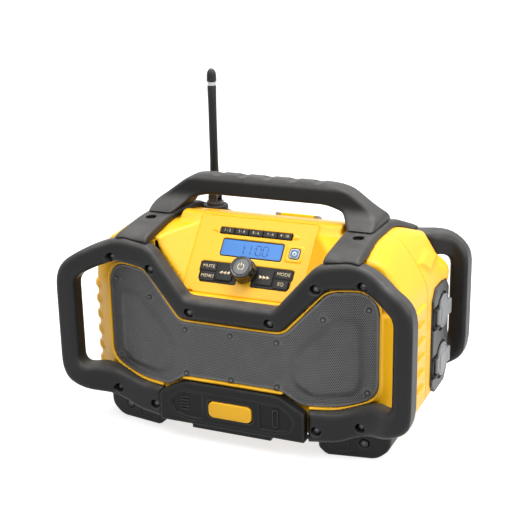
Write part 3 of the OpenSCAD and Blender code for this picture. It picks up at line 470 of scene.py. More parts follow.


# Colours are sRGB; grain, cloud and edge wear-and-highlight sizes are noise scales. The lighter edge colour is partly
# rubbed wear, partly a painted highlight.
plain = {"spread": 0.12, "cloud": 18.0, "wearAndHighlight": 0.0, "wearAndHighlightSize": 60.0, "rubbedAndLit": (203.42, 203.42, 203.42), "dust": 0.1,
         "metal": 0.0, "specular": 0.5, "coat": 0.0, "coatRough": 0.1, "glow": (255, 255, 255), "glowStrength": 0.0}
looks = {
    "yellowShell": dict(
        slot="body_yellow", colour=(250, 184, 10), second=(254, 192, 18), rough=0.38, spread=0.1, grain=1300.0,
        bump=0.1, wearAndHighlight=0.25, rubbedAndLit=(255, 222, 110), dust=0.03, specular=0.4),
    "cageRubber": dict(
        slot="cage_rubber", colour=(24, 24, 25), second=(30, 30, 31), rough=0.42, spread=0.14, grain=1500.0,
        bump=0.22, wearAndHighlight=0.4, rubbedAndLit=(96, 96, 97), dust=0.24, specular=0.22),
    # hard black's light crest lines are mostly a painted highlight, partly wear
    "hardBlack": dict(
        slot="hard_black", colour=(17, 17, 18), second=(22, 22, 23), rough=0.4, grain=1500.0, bump=0.12, wearAndHighlight=0.9,
        rubbedAndLit=(104, 104, 106), dust=0.04, specular=0.18),
    "grilleMetal": dict(
        slot="grille_metal", colour=(86, 86, 87), second=(98, 98, 99), rough=0.42, grain=2400.0, bump=0.06, wearAndHighlight=0.5,
        rubbedAndLit=(150, 150, 152), dust=0.06, metal=0.35),
    "grilleShade": dict(
        slot="hard_black", colour=(8, 8, 8), second=(14, 14, 14), rough=0.9, grain=700.0, bump=0.3),
    "keyBlack": dict(
        slot="key_black", colour=(24, 23, 23), second=(30, 29, 29), rough=0.45, grain=2200.0, bump=0.08, wearAndHighlight=0.15,
        rubbedAndLit=(70, 69, 68), dust=0.03, specular=0.25),
    "knobGloss": dict(
        slot="key_black", colour=(22, 22, 23), second=(28, 28, 29), rough=0.16, spread=0.06, grain=2200.0, bump=0.02,
        wearAndHighlight=0.2, rubbedAndLit=(70, 70, 70), dust=0.02, coat=0.5, coatRough=0.12),
    "creamPrint": dict(
        slot="key_black", colour=(226, 206, 164), second=(236, 219, 182), rough=0.5, grain=3000.0, bump=0.05, dust=0.0),
    "whitePrint": dict(
        slot="pair_grey", colour=(232, 234, 236), second=(242, 243, 244), rough=0.5, grain=3000.0, bump=0.05, dust=0.0),
    "pairGrey": dict(
        slot="pair_grey", colour=(58, 96, 136), second=(66, 106, 146), rough=0.3, grain=2200.0, bump=0.06, wearAndHighlight=0.4,
        rubbedAndLit=(150, 178, 200), dust=0.02),
    "displayBlue": dict(
        slot="display", colour=(62, 114, 184), second=(74, 126, 194), rough=0.4, spread=0.03, grain=300.0, cloud=9.0,
        bump=0.0, dust=0.0, specular=0.25, glow=(98, 152, 212), glowStrength=0.2),
    "displayDigits": dict(
        slot="display", colour=(52, 96, 162), second=(56, 102, 170), rough=0.4, grain=300.0, bump=0.0, dust=0.0,
        specular=0.25, glow=(56, 104, 178), glowStrength=0.14),
    "flapGrey": dict(
        slot="flap_grey", colour=(118, 119, 121), second=(130, 131, 133), rough=0.4, grain=1600.0, bump=0.12, wearAndHighlight=0.4,
        rubbedAndLit=(205, 206, 208), dust=0.05),
    "plateGrey": dict(
        slot="flap_grey", colour=(40, 40, 41), second=(48, 48, 49), rough=0.42, grain=1600.0, bump=0.15, wearAndHighlight=0.4,
        rubbedAndLit=(120, 121, 122), dust=0.05),
    # the screw drive's pale colour is a painted glint
    "screwBlack": dict(
        slot="screw_black", colour=(30, 30, 31), second=(38, 38, 39), rough=0.3, recess=(120, 120, 122), grain=3000.0,
        bump=0.05, wearAndHighlight=0.5, rubbedAndLit=(110, 110, 112), dust=0.03, metal=0.25),
    "steel": dict(
        slot="steel", colour=(176, 178, 180), second=(192, 193, 195), rough=0.3, grain=2600.0, bump=0.04, wearAndHighlight=0.2,
        rubbedAndLit=(220, 220, 220), dust=0.05, metal=1.0),
    "alloy": dict(
        colour=(140, 142, 145), second=(158, 160, 162), rough=0.42, grain=1200.0, bump=0.1, wearAndHighlight=0.2, dust=0.08,
        metal=0.9),
    "boardGreen": dict(
        colour=(20, 84, 52), second=(30, 104, 62), rough=0.35, grain=900.0, bump=0.05, wearAndHighlight=0.1, rubbedAndLit=(190, 160, 90),
        dust=0.08),
    "iron": dict(
        colour=(92, 88, 84), second=(112, 107, 101), rough=0.55, grain=800.0, bump=0.15, wearAndHighlight=0.2, metal=0.7),
    "conePaper": dict(colour=(38, 37, 36), second=(52, 50, 48), rough=0.85, grain=500.0, bump=0.35),
}
finishes = {name: finish(name, look) for name, look in looks.items()}
print("finishes made")

# The CAD nodes that stay keep their shape and get a finish; those not named are hard black.
keptNodes = {
    "boardGreen": ("display_module", "keypad_board", "main_board", "amplifier_board", "aux_board"),
    "steel": ("encoder_shaft", "encoder_body", "speaker_left", "speaker_right", "battery_terminals"),
    "conePaper": ("cone_left", "cone_right"), "alloy": ("heat_sink",), "iron": ("transformer",),
}
for node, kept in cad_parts.items():
    look = next((name for name, nodes in keptNodes.items() if node in nodes), "hardBlack")
    if not kept.material_slots:
        kept.data.materials.append(finishes[look])
    for holder in kept.material_slots:
        holder.material = finishes[look]


# Yellow shell.
bodyPlan = mirrored([
    (body["flatX"], -body["front"], 8), (body["faceX"], -body["faceY"], 12), (body["halfWidth"], -body["flankY"], 10),
    (body["halfWidth"], 88, 8), (190, 98, 8), (60, body["rear"], 10)])


# The closed body; inset shrinks it for the cavity.
def bodyField(x, y, z, inset=0.0):
    b, t = body, inset
    frontEdge = mirrored([(b["halfWidth"] - 24, b["floor"], 10), (b["halfWidth"], 44, 10), (b["halfWidth"], 192, 24),
                          (174, 245, 26), (140, 270, 0)], 10)
    before, behind = -b["front"] - 20, b["rear"] + 20
    shoulderEdge = soften([
        (before, b["floor"], 0), (before, 225, 0), (-106, b["shoulder"] - 14, 16), (-34, b["shoulder"], 20),
        (32, b["shoulder"], 20), (100, b["shoulder"] - 24, 12), (behind, 213, 0), (behind, b["floor"], 0)])
    ridgeY = panel["y"] + (b["ridge"] - panel["z"]) / math.tan(panel["tilt"])
    centreEdge = soften([
        (before, b["floor"], 0), (before, 184, 0), (-88.3, 184, 1.5), (ridgeY - 3, b["ridge"] - 2.2, 3),
        (ridgeY + 5, b["ridge"], 5), (ridgeY + 16, b["ridge"] - 2.4, 6), (97, b["ridge"] - 35, 10),
        (behind, b["ridge"] - 52, 0), (behind, b["floor"], 0)])
    sides = distance(frontEdge, x, z) + t
    shoulders = distance(shoulderEdge, y, z) + t
    centre = roundBoth(distance(centreEdge, y, z) + t, np.abs(x) - (b["notchHalf"] - 2) + t, 3)
    form = roundEither(roundBoth(sides, shoulders, 9), centre, 4)
    v, w = onPanel(y, z)
    hollowEdge = mirrored([(panel["half"], -3, 0), (panel["half"], 0, 2.5), (b["notchHalf"], 29, 9),
                           (b["notchHalf"], 300, 0)])
    hollow = roundBoth(distance(hollowEdge, x, w) - t, v - panel["high"] - t, 3)
    form = less(form, every(hollow, 184 - t - z), 3 if not t else 0.5)
    return roundBoth(distance(bodyPlan, x, y) + t, form, b["edge"])


# Distance of the bowed front from the middle plane, eased at the bend.
def facetY(x):
    past = np.sqrt((np.abs(x) - body["flatX"]) ** 2 + 9) + (np.abs(x) - body["flatX"])
    return body["front"] - past / 2 * math.tan(body["sweep"])


def facetAt(px):
    return body["front"] - max(0, px - body["flatX"]) * math.tan(body["sweep"])


def seatAt(x):
    return cage["seatY"] - np.maximum(x - body["flatX"], 0) * cage["seatSlope"]


def grilleOutline(t):
    return mirrored([
        (62, 80.6 + t, 4), (86, 63 + t, 8), (130, 63 + t, 16), (164, 74 + t, 10), (178 - t, 86 + t, 10),
        (178 - t, 199 - t, 14), (158, 213.8 - t, 12), (118, 211.8 - t, 10), (66 + t / 2, 158 - t, 8)])


cageOutline = mirrored([
    (57, cage["bandTop"], 6), (106, cage["top"] - 5, 12), (148, cage["top"] + 1, 14), (191, cage["top"] - 12, 24),
    (cage["loopX"], cage["top"] - 38, 26), (cage["loopX"], 66, 30), (198, 50, 18), (160, 38, 14),
    (131, cage["low"] + 3, 12), (cage["doorSeam"], cage["low"], 1.5), (cage["doorSeam"], 62, 1.5), (128, 63, 12),
    (164, 75, 12), (180, 81.5, 6), (cage["loopIn"], 82, 14), (cage["loopIn"], 197, 12), (182, 207.5, 8),
    (158, 216, 8), (118, 213.5, 8), (66, cage["bandLow"], 6)])
cageBand = mirrored([
    (55, -cage["front"], 6), (106, -cage["front"] + 7.5, 14), (162, -cage["front"] + 13, 14),
    (cage["loopIn"] - 4, -cage["loopY"], 14), (cage["loopX"], -cage["loopY"], 3),
    (cage["loopX"], -cage["loopBack"], 3), (cage["loopIn"] + 2, -cage["loopBack"], 5), (176, -91, 10), (156, -86, 10),
    (body["flatX"], -cage["seatY"], 0)])
cageScrews = [(160, 221.3), (105.7, 213.2), (51.5, 167.4), (159.2, 49.8), (105.9, 38)]
grilleScrews = [(163, 189), (112, 175), (162, 88), (59, 144), (59, 88.2), (0, 144), (0, 88.2)]
screwHole = {"radius": 6, "deep": 7.5}


def cageField(x, y, z):
    return every(distance(cageOutline, x, z), distance(cageBand, x, y))


def bandFront(x):
    return cage["front"] - (7.5 + (x - 105) * 0.1 if x > 105 else max(0.0, x - 52) * 0.142)


# The shoulder's slope: its height, what it loses towards the back, and the raised block on it.
def offSlope(ax, z):
    return (ax - 190.5) * 0.849 + (z - 218.5) * 0.529


def shoulderCut(ax, y, z):
    return every(-(offSlope(ax, z) - 0.3) - np.maximum(y - 70, 0) * 0.42, 70 - y)


def shoulderPad(ax, y, z):
    off = offSlope(ax, z)
    down = (ax - 190.5) * 0.529 - (z - 218.5) * 0.849
    rise = distance(soften([(2, 1, 3), (46, -6, 8), (68, 11, 8), (24, 19, 3)]), y, down)
    return roundBoth(rise + np.maximum(off, 0) * 0.35, off - 3.6, 3.2)


def dressShoulder(solid, ax, y, z):
    return roundEither(less(solid, shoulderCut(ax, y, z), 2.5), shoulderPad(ax, y, z), 2.5)


splitGap = 0.15
ribs = {"count": 6, "pitch": 20.5}
speaker = {"x": 119, "z": 138, "bore": 36, "ring": 45}


def makeFrontShell():
    x, y, z, grid = gridOf((-211, -121, 8), (211, 2, 267), 1.55)
    ax = np.abs(x)
    seat = -seatAt(ax)
    inner = every(bodyField(x, y, z, body["wall"]), seat + body["wall"] - y, body["wall"] - shoulderCut(ax, y, z))
    solid = bodyField(x, y, z)
    solid = np.where(z > 176, less(solid, every(y + 84.5, 184.4 - z), 6.5), solid)
    solid = less(solid, inner)
    opening = distance(grilleOutline(3.2), x, z)
    bead = np.hypot(opening - 1.9, (y + facetY(x)) * 0.9 - 0.2) - 1.6
    solid = less(roundEither(solid, bead, 0.8), every(opening, y - seat), 0.8)
    hollow = roundBoth(between(z, 60, 181), between(y, -62, -9), 4)
    solid = less(solid, every(hollow, 205.2 - ax), 0.8)
    skin = distance(bodyPlan, x, y) - 2.2
    for i in range(ribs["count"]):  # on both flanks, wrapped round the corner
        up = i * ribs["pitch"]
        rib = roundBoth(between(z, 65.4 + up, 74.6 + up), skin, 1.3)
        slant = every(between(y - (z - 70 - up) * 0.5, -80.0, -16.9), 196 - ax)
        solid = roundEither(solid, roundBoth(rib, slant, 2.2), 1.6)
    solid = less(dressShoulder(solid, ax, y, z), cageField(x, y, z) - 0.25, 1.2)
    v, w = onPanel(y, z)
    door = every(ax - 95.5, z - 79.6, y + 106)
    window = every(ax - 69, between(y, -140, -10), near(v, 19.3, 43.2), np.abs(w) - 15)
    bay = every(ax - 75, between(z, 33.2, 67.2), y + 60)
    solid = less(solid, either(door, window, bay))
    for side in (-1, 1):
        c, s = math.cos(body["sweep"]), side * math.sin(body["sweep"])
        dx, dy = x - side * speaker["x"], y + body["front"] - 60 * math.tan(body["sweep"])
        across, along = dx * c + dy * s, -dx * s + dy * c
        disc = np.hypot(across, z - speaker["z"])
        solid = either(solid, every(disc - speaker["ring"], between(along, 13, 25)))
        solid = less(solid, every(disc - speaker["bore"], between(along, 0, 70)))
    for spot in grilleScrews:
        ends = between(y, -facetAt(spot[0] + 4.5) + 3.2, -seatAt(spot[0]) + 2)
        solid = either(solid, every(fromScrew(x, z, spot) - 4.5, ends))
    lugs = roundBoth(roundBoth(ax - 162.4, 150.4 - ax, 0.5), between(y, -80.6, -67.6), 0.5)
    solid = either(solid, every(lugs, between(z, 11, 32)))
    moulded("frontShell", every(solid, y + splitGap), grid, "yellowShell", "radio", ["front_housing"], 0.42)


# Roll cage.
def makeFrontCage():
    x, y, z, grid = gridOf((-230.5, -137.5, 19.5), (230.5, -74, 248.5), 1.5)
    solid = roundBoth(distance(cageOutline, x, z), distance(cageBand, x, y), 7.5)
    for spot in cageScrews:
        hole, mouth = fromScrew(x, z, spot), y + bandFront(spot[0])
        solid = less(solid, every(hole - screwHole["radius"], mouth - screwHole["deep"]), 1.0)
        solid = less(solid, every(hole - 2.6, mouth - 40))
    moulded("frontCage", solid, grid, "cageRubber", "radio", ["front_cage"], 0.7)


makeFrontShell()
makeFrontCage()


# Repeats made by node trees.
def runTree(mesh, tree, values):
    def prepare(holder):
        modifier = holder.modifiers.new("nodes", "NODES")
        modifier.node_group = tree
        for item in tree.interface.items_tree:
            if item.in_out == "INPUT" and item.name in values:
                modifier[item.identifier] = values[item.name]
    return evaluated(mesh, prepare)


def fromAxis(tree, spot):
    flat = firstOut(tree, "ShaderNodeVectorMath", {0: spot, 1: (1, 1, 0)}, operation="MULTIPLY")
    return addNode(tree, "ShaderNodeVectorMath", {0: flat}, operation="LENGTH").outputs["Value"]


# Ends a tree: the form on each point as real geometry with the material.
def spreadOut(tree, source, sink, links, mergeWithin=None):
    form = firstOut(tree, "GeometryNodeInstanceOnPoints", {"Points": source.outputs["Geometry"], **links})
    form = firstOut(tree, "GeometryNodeRealizeInstances", {0: form})
    if mergeWithin:
        form = firstOut(tree, "GeometryNodeMergeByDistance", {"Geometry": form, "Distance": mergeWithin})
    form = firstOut(tree, "GeometryNodeSetMaterial", {"Geometry": form, "Material": source.outputs["Material"]})
    tree.links.new(form, sink.inputs[0])
    return tree


# Grille.
grille = {"pitch": 2.3, "hole": 1.5, "thick": 0.9, "rim": 3.0, "plateau": 3.55, "ramp": 11.0, "depth": 1.0}
plateauOutline = soften([(72, 112, 6), (80, 136, 6), (128, 179, 10), (150, 180, 8), (158, 170, 8), (158, 100, 8),
                         (148, 83, 8), (100, 77, 10), (78, 92, 8)])


# Where the perforated sheet's face lies.
def grilleY(x, z):
    d = distance(plateauOutline, np.abs(x), z) - 2.0
    return -(facetY(x) - grille["depth"] + eased(grille["plateau"], np.clip(-d / grille["ramp"], 0, 1)))


# A six-sided cell with a hole on each point; cells share their outer edges.
def perforationTree():
    tree, source, sink = newTree("perforation", "GeometryNodeTree", {
        "Geometry": "NodeSocketGeometry", "Pitch": 0.0023, "Hole": 0.0014, "Thickness": 0.0009,
        "Material": "NodeSocketMaterial"}, ["Geometry"], "NodeSocketGeometry")
    pitch, hole, thick = [source.outputs[name] for name in ("Pitch", "Hole", "Thickness")]
    radius = calc(tree, "MULTIPLY", pitch, 1 / math.sqrt(3))
    cell = firstOut(tree, "GeometryNodeMeshCircle", {"Vertices": 6, "Radius": radius}, fill_type="NGON")
    cell = firstOut(tree, "GeometryNodeTransform", {"Geometry": cell, "Rotation": (0, 0, math.pi / 6)})
    inset = addNode(tree, "GeometryNodeExtrudeMesh", {"Mesh": cell, "Offset Scale": 0.0}, mode="FACES")
    top = inset.outputs["Top"]
    ring = firstOut(tree, "GeometryNodeScaleElements", {
        "Geometry": inset.outputs["Mesh"], "Selection": top, "Scale": calc(tree, "DIVIDE", hole, pitch)}, domain="FACE")
    ring = firstOut(tree, "GeometryNodeDeleteGeometry", {"Geometry": ring, "Selection": top}, domain="FACE")
    raised = addNode(tree, "GeometryNodeExtrudeMesh", {"Mesh": ring, "Offset Scale": thick, "Individual": False},
                     mode="FACES")
    middle = calc(tree, "MULTIPLY", calc(tree, "ADD", hole, pitch), 0.25)
    beyond = calc(tree, "GREATER_THAN", fromAxis(tree, firstOut(tree, "GeometryNodeInputPosition")), middle)
    wall = firstOut(tree, "FunctionNodeBooleanMath", {0: raised.outputs["Side"], 1: beyond}, operation="AND")
    opened = firstOut(tree, "GeometryNodeDeleteGeometry", {"Geometry": raised.outputs["Mesh"], "Selection": wall},
                      domain="FACE")
    both = addNode(tree, "GeometryNodeJoinGeometry")
    for part in (opened, firstOut(tree, "GeometryNodeFlipFaces", {0: ring})):
        tree.links.new(part, both.inputs[0])
    return spreadOut(tree, source, sink, {"Instance": both.outputs[0]}, 0.00003)


def makeGrille():
    g, spots = grille, []
    for n, row in enumerate(np.arange(62, 216, g["pitch"] * math.sqrt(3) / 2)):
        across = np.arange(-180, 180, g["pitch"]) + (n % 2) * g["pitch"] / 2
        spots += [(a, row) for a in across]
    spots = np.array(spots)
    margin = distance(grilleOutline(3.4), spots[:, 0], spots[:, 1])
    for spot in grilleScrews:
        margin = every(margin, 4.4 - g["rim"] - fromScrew(spots[:, 0], spots[:, 1], spot))
    spots = spots[margin < -g["rim"] + 0.6]
    tree, part = perforationTree(), 62
    for name, mine in (("grilleLeft", spots[:, 0] < -part), ("grilleMiddle", np.abs(spots[:, 0]) <= part),
                       ("grilleRight", spots[:, 0] > part)):
        points = np.column_stack([spots[mine], np.zeros(mine.sum())])
        mesh = runTree(meshFrom(name, points, []), tree, {
            "Pitch": g["pitch"] / 1000, "Hole": g["hole"] / 1000, "Thickness": g["thick"] / 1000,
            "Material": finishes["grilleMetal"]})
        across, up, deep = (coordinates(mesh) * 1000).T
        moveTo(mesh, asItIs(across, grilleY(across, up) + g["thick"] - deep, up))
        mesh.update()
        print(name, len(mesh.polygons), "faces")
        place(name, mesh, "grilleMetal", "radio", smooth=False)
    # the solid rim, eyes round the screws, and a collar behind each eye that hides the post
    low, high = (-178, -120, 60), (178, -84, 216)
    x, y, z, grid = gridOf(low, high, 0.95)
    edge = distance(grilleOutline(3.4), x, z)
    face = grilleY(x, z)
    band = every(edge, -(edge + g["rim"] + 1.0))
    for spot in grilleScrews:
        off = fromScrew(x, z, spot)
        band = either(band, every(off - 5.4, 1.6 - off, edge))
    rim = roundBoth(np.abs(y - face - 0.55) - 0.55, band, 0.4)
    for spot in grilleScrews:
        off = fromScrew(x, z, spot)
        collar = every(off - 6.4, 4.75 - off, between(y - face, 0.9, 6.2))
        rim = np.where(collar < 1.2, either(rim, collar), rim)
    moulded("grilleRim", rim, grid, "grilleMetal", "radio", ["speaker_grille"], 0.6)
    # a dark sheet behind keeps the inside from showing through
    x, y, z, grid = gridOf(low, high, 1.7)
    shade = every(near(y + facetY(x), 6.4, 0.9), distance(grilleOutline(4.2), x, z))
    for spot in grilleScrews:
        shade = every(shade, 6.2 - fromScrew(x, z, spot))
    moulded("grilleShade", shade, grid, "grilleShade", "radio", keep=0.3)


makeGrille()

# Control panel.
lcd = {"width": 80.0, "height": 22.5, "v": 29.7, "corner": 3.0}
presets = {"pitch": 18.8, "length": 17.6, "height": 7.6, "v": 51.2,
           "words": {"one": "1 - 2", "two": "3 - 4", "three": "5 - 6", "four": "7 - 8", "five": "9 - 10"}}
pair = {"u": 55.5, "v": 30.0, "size": 13.0, "corner": 4.5}
bezelEdge = [(-60.5, 7.8, 0.6), (-57, 9, 0.6), (-10, 9, 2), (-10, -17.5, 2), (-56, -17.5, 0.8), (-59, -13, 0.8),
             (-59, -5, 0.8), (-60.5, -3, 0.8)]
# Left halves of the key rows: low and high corner, height and corner length.
keyRows = (((-59, -3.2, -38.4, 7.6), 1.0, 0.6), ((-57, -16, -38.4, -4.6), 1.0, 0.6), ((-36.6, -14, -15.5, 5), 1.8, 2.2))
keys = (("Mute", "mute", "key_mute", 0, -1, "MUTE"), ("Menu", "menu", "key_menu", 1, -1, "MENU"),
        ("Previous", "previous", "key_prev", 2, -1, None), ("Next", "next", "key_next", 2, 1, None),
        ("Mode", "mode", "key_mode", 0, 1, "MODE"), ("Equaliser", "equaliser", "key_eq", 1, 1, "EQ"))
keyLow = -3.4


def rectangle(u, v, width, height, corner):
    a, b = width / 2, height / 2
    return soften([(u - a, v - b, corner), (u + a, v - b, corner), (u + a, v + b, corner), (u - a, v + b, corner)], 5)


def lcdEdge(grow, share):
    return rectangle(0, lcd["v"], lcd["width"] + grow, lcd["height"] + grow, lcd["corner"] * share)


def pairEdge(grow, corner):
    return rectangle(pair["u"], pair["v"], pair["size"] + grow, pair["size"] + grow, corner)


def keyEdge(row, side, grow, corner):
    a, b, c, d = keyRows[row][0]
    return rectangle(side * -(a + c) / 2, (b + d) / 2, c - a + grow, d - b + grow, corner)


def circlePoints(a, b, radius, count, start=0.0, end=360.0):
    angles = np.radians(np.linspace(start, end, count, endpoint=end - start < 359))
    return np.column_stack([a + radius * np.cos(angles), b + radius * np.sin(angles)])


def makePanelPlate():
    u, v, w, grid = gridOf((-78.4, -36.4, -7.0), (78.4, 71.4, 3.5), 0.7)
    plate = every(np.abs(u) - 77.0, between(v, -30.0, panel["high"]), between(w, -3.0, 0.0))
    lip = roundBoth(between(v, -33.6, -24.0), between(w, -6.5, 0.0), 3.6)
    plate = either(plate, every(lip, np.abs(u) - 60 - (v + 33.6) * 0.9))

    def rise(outline, height, soft):
        return eased(height, np.clip(-distance(outline, u, v) / soft, 0, 1))

    top = rise(rectangle(pair["u"], pair["v"] - 0.6, 24, 23, 5), 0.9, 2.4)
    for side in (1, -1):
        wedge = soften([(side * 47.8, 55.6, 1), (side * 47.8, 46.8, 1), (side * 52, 47.6, 1.5), (side * 60, 50.6, 1),
                        (side * 52, 54.6, 1.5)])
        top = np.maximum(top, rise(wedge, 1.0, 2.2))
    plate = either(plate, every(-w - 1.5, w - top, np.abs(u) - 76, 0.02 - top))
    row = rectangle(0, presets["v"], presets["pitch"] * 5 + 1.2, presets["height"] + 1.2, 1.0)
    for hole in (distance(lcdEdge(0.8, 1), u, v), distance(row, u, v), distance(pairEdge(1.2, pair["corner"]), u, v),
                 distance(soften(bezelEdge), -np.abs(u), v) - 0.25, np.hypot(u, v) - 10.5):
        plate = less(plate, hole, 0.45)
    moulded("controlPanel", plate, grid, "yellowShell", "radio", ["control_panel"], 0.4, panelPoint)


# Clock digits made of seven-segment bars.
def digitMesh(middle, height):
    lit = {"1": "bc", "0": "abcdef"}
    h, wide, thick = height / 2, height * 0.5, height * 0.1
    bars = {"a": (0, h, 1), "b": (wide / 2, h / 2, 0), "c": (wide / 2, -h / 2, 0), "d": (0, -h, 1),
            "e": (-wide / 2, -h / 2, 0), "f": (-wide / 2, h / 2, 0)}
    loops, at = [], middle[0] - height * 1.15
    for mark in "11:00":
        if mark == ":":
            for dv in (-h * 0.4, h * 0.4):
                loops.append(rectangle(at, middle[1] + dv, thick, thick * 1.2, 0))
            at += height * 0.35
            continue
        for name in lit[mark]:
            a, b, level = bars[name]
            length = (wide if level else h) * 0.82
            size = (length, thick) if level else (thick, length)
            loops.append(rectangle(at + a, middle[1] + b, *size, 0))
        at += height * 0.72
    return joined([slabMesh([loop], -0.42, -0.36) for loop in loops])


def makeDisplay():
    place("displayFrame", slabMesh([lcdEdge(0, 1), lcdEdge(-1.9, 0.7)], -2.2, -0.1, 0.25), "hardBlack", "radio")
    place("displayGlass", slabMesh([lcdEdge(-1.0, 0.8)], -3.0, -0.45, 0.2), "displayBlue", "radio", ["display_lens"])
    place("displayDigits", digitMesh((1.0, lcd["v"] - 0.5), 12.4), "displayDigits", "radio")


# A key in its opening with the flange that keeps it in.
def keyMesh(outline, foot, high, bevel=0.45, flange=1.2):
    return joined([slabMesh([outline], keyLow, high, bevel, 3), slabMesh([foot], keyLow - flange, keyLow, 0.15)])


def makeKeys():
    for name, rides, node, row, side, words in keys:
        (a, b, c, d), proud, corner = keyRows[row]
        u, v = side * -(a + c) / 2, (b + d) / 2
        mesh = keyMesh(keyEdge(row, side, 0, corner), keyEdge(row, side, 1.0, 0.5), proud)
        place("key" + name, mesh, "keyBlack", rides, [node])
        if words:
            lettering = textMesh(words, 6.0, (u, v, proud), 0.12, 1.02)
        else:
            loops = []
            for i in range(3):
                tail = u + side * (i - 1) * 4.6 - side * 2.2
                loops.append(np.array([(tail, v - 2.4), (tail + side * 4.5, v), (tail, v + 2.4)])[::side])
            lettering = slabMesh(loops, proud, proud + 0.12)
        place("key" + name + "Print", lettering, "creamPrint", rides)
    for side in (1, -1):
        edge = bezelEdge if side < 0 else [(-u, *rest) for u, *rest in reversed(bezelEdge)]
        loops = [soften(edge)] + [keyEdge(row, side, 0.6, keyRows[row][2]) for row in range(3)]
        place("keyBezel" + ("Right" if side > 0 else "Left"), slabMesh(loops, -3.0, 0.4, 0.18), "keyBlack", "radio",
              ["keypad_bezel"] if side > 0 else [])
    for i, (number, words) in enumerate(presets["words"].items()):
        u, name, rides = (i - 2) * presets["pitch"], "preset" + number.capitalize(), "preset_" + number
        cap, foot = [rectangle(u, presets["v"], presets["length"], presets["height"] + grow, 0.5) for grow in (0, 2.8)]
        place(name, keyMesh(cap, foot, 1.0, 0.5, 0.9), "keyBlack", rides, ["preset_%d" % (i + 1)])
        place(name + "Print", textMesh(words, 4.6, (u, presets["v"], 1.0)), "creamPrint", rides)
    cap = keyMesh(pairEdge(0, pair["corner"]), pairEdge(2.8, 2), 1.1, 0.9, 0.9)
    edge = [pairEdge(-1.4, pair["corner"] * 0.8), pairEdge(-2.6, pair["corner"] * 0.7)]
    ring = [circlePoints(pair["u"], pair["v"], radius, 24) for radius in (2.7, 1.5)]
    place("pairButton", cap, "pairGrey", "pairing", ["pair_button"])
    place("pairRing", slabMesh(edge, 1.08, 1.18), "whitePrint", "pairing")
    place("pairMark", slabMesh(ring, 1.08, 1.2), "whitePrint", "pairing")


def makeKnob():
    k = {"radius": 15.25, "low": 1.6, "high": 18.45, "groove": 11.9, "flutes": 24, "fluteDepth": 0.022}
    r, low, h, groove = k["radius"], k["low"], k["high"], k["groove"]
    mesh = latheMesh([
        (0, low), (r - 1.2, low), (r - 0.1, low + 1.2), (r - 0.1, low + 3.2), (r - 0.7, low + 3.8), (r - 0.75, h - 3.4),
        (r - 1.0, h - 2.2), (r - 1.7, h - 1.0), (r - 2.5, h - 0.35), (r - 3.1, h - 0.3), (groove - 0.3, h - 0.9),
        (groove - 0.9, h - 1.0), (groove - 1.5, h - 0.6), (groove - 2.4, h - 0.45), (2.0, h - 0.75), (0, h - 0.75),
    ], 144, panelPoint)
    u, y, z = (coordinates(mesh) * 1000).T
    v, w = onPanel(y, z)
    side = (w > low + 3.4) & (w < h - 2.8)  # shallow flutes round the grip
    flute = k["fluteDepth"] * np.clip(np.cos(np.arctan2(v, u) * k["flutes"]), 0, 1)
    share = np.where(side, 1 - flute, 1)
    moveTo(mesh, panelPoint(u * share, v * share, w))
    place("knobCap", mesh, "knobGloss", "knob_turn", ["knob"])
    arc = np.vstack([circlePoints(0, 0, 4.4, 28, 118, 422), circlePoints(0, 0, 3.4, 28, 422, 118)])
    stem = rectangle(0, 3.5, 1.05, 4.4, 0.2)
    place("knobPowerMark", slabMesh([arc, stem], h - 0.74, h - 0.6), "creamPrint", "knob_turn")


makePanelPlate()
makeDisplay()
makeKeys()
makeKnob()
print("control panel made")


# Storage door.
storageLatch = {"width": 56.0, "height": 20.5, "z": 48.75, "front": -124.9, "back": -117.5}


def makeStorageDoor():
    latchZ = storageLatch["z"]
    x, y, z, grid = gridOf((-101, -125, 17.5), (101, -107, 81), 0.9)
    ax = np.abs(x)
    edge = distance(mirrored([(94.6, 24, 2), (94.6, 61, 4), (61, 79, 8)]), x, z)
    door = roundBoth(edge, between(y, -123, -109), 2.6)
    door = less(door, z + (y + 123) * 0.9 - 24.5 + 2, 3)
    rim = distance(mirrored([(56, 31, 4), (76, 35, 4), (82, 47, 4), (80, 55, 4), (64, 67, 4)]), x, z)
    door = less(door, every(rim, y + 121.9), 0.6)
    door = less(door, every(rim + 2.6, y + 119.6), 0.6)
    middle = roundBoth(between(x, -38, 38), every(rim + 1.0, between(y, -121.9, -112)), 1.0)
    pad = roundBoth(distance(rectangle(0, latchZ, 63, 27, 8), x, z), between(y, -122.8, -112), 1.0)
    pocket = every(distance(rectangle(0, latchZ, 56.7, 21.2, 4.0), x, z), y + 114.6)
    door = less(either(door, middle, pad), pocket)
    raised = between(y, -121.6, -119)
    for i in range(5):  # bars of the left mark
        bar = roundBoth(near(x, -61, 5.0), near(z - 42, i * 4.0, 1.0), 0.6)
        door = either(door, roundBoth(bar, raised, 0.4))
    capsule = np.hypot(x - 58, z - np.clip(z, 41, 57)) - 3.2
    door = either(door, roundBoth(np.abs(capsule) - 0.8, raised, 0.4))
    pin = every(rod(y, z, (-113, 29), 2.5), between(ax, 91, 99.5))
    door = less(either(door, pin), z - 19)
    lip = roundBoth(roundBoth(ax - 52, between(z, 19, 30), 1.0), between(y, -121, -113), 0.8)
    moulded("storageDoor", either(door, lip), grid, "hardBlack", "storage_door", ["storage_door"], 0.5)


def makeStorageLatch():
    latch = storageLatch
    mesh = slabMesh([rectangle(0, latch["z"], latch["width"], latch["height"], 7.5)], 0,
                    latch["back"] - latch["front"], 1.6, 4, lambda a, b, w: asItIs(a, latch["back"] - w, b))
    place("storageLatch", mesh, "yellowShell", "storage_latch", ["storage_latch"])


makeStorageDoor()
makeStorageLatch()
print("storage door made")


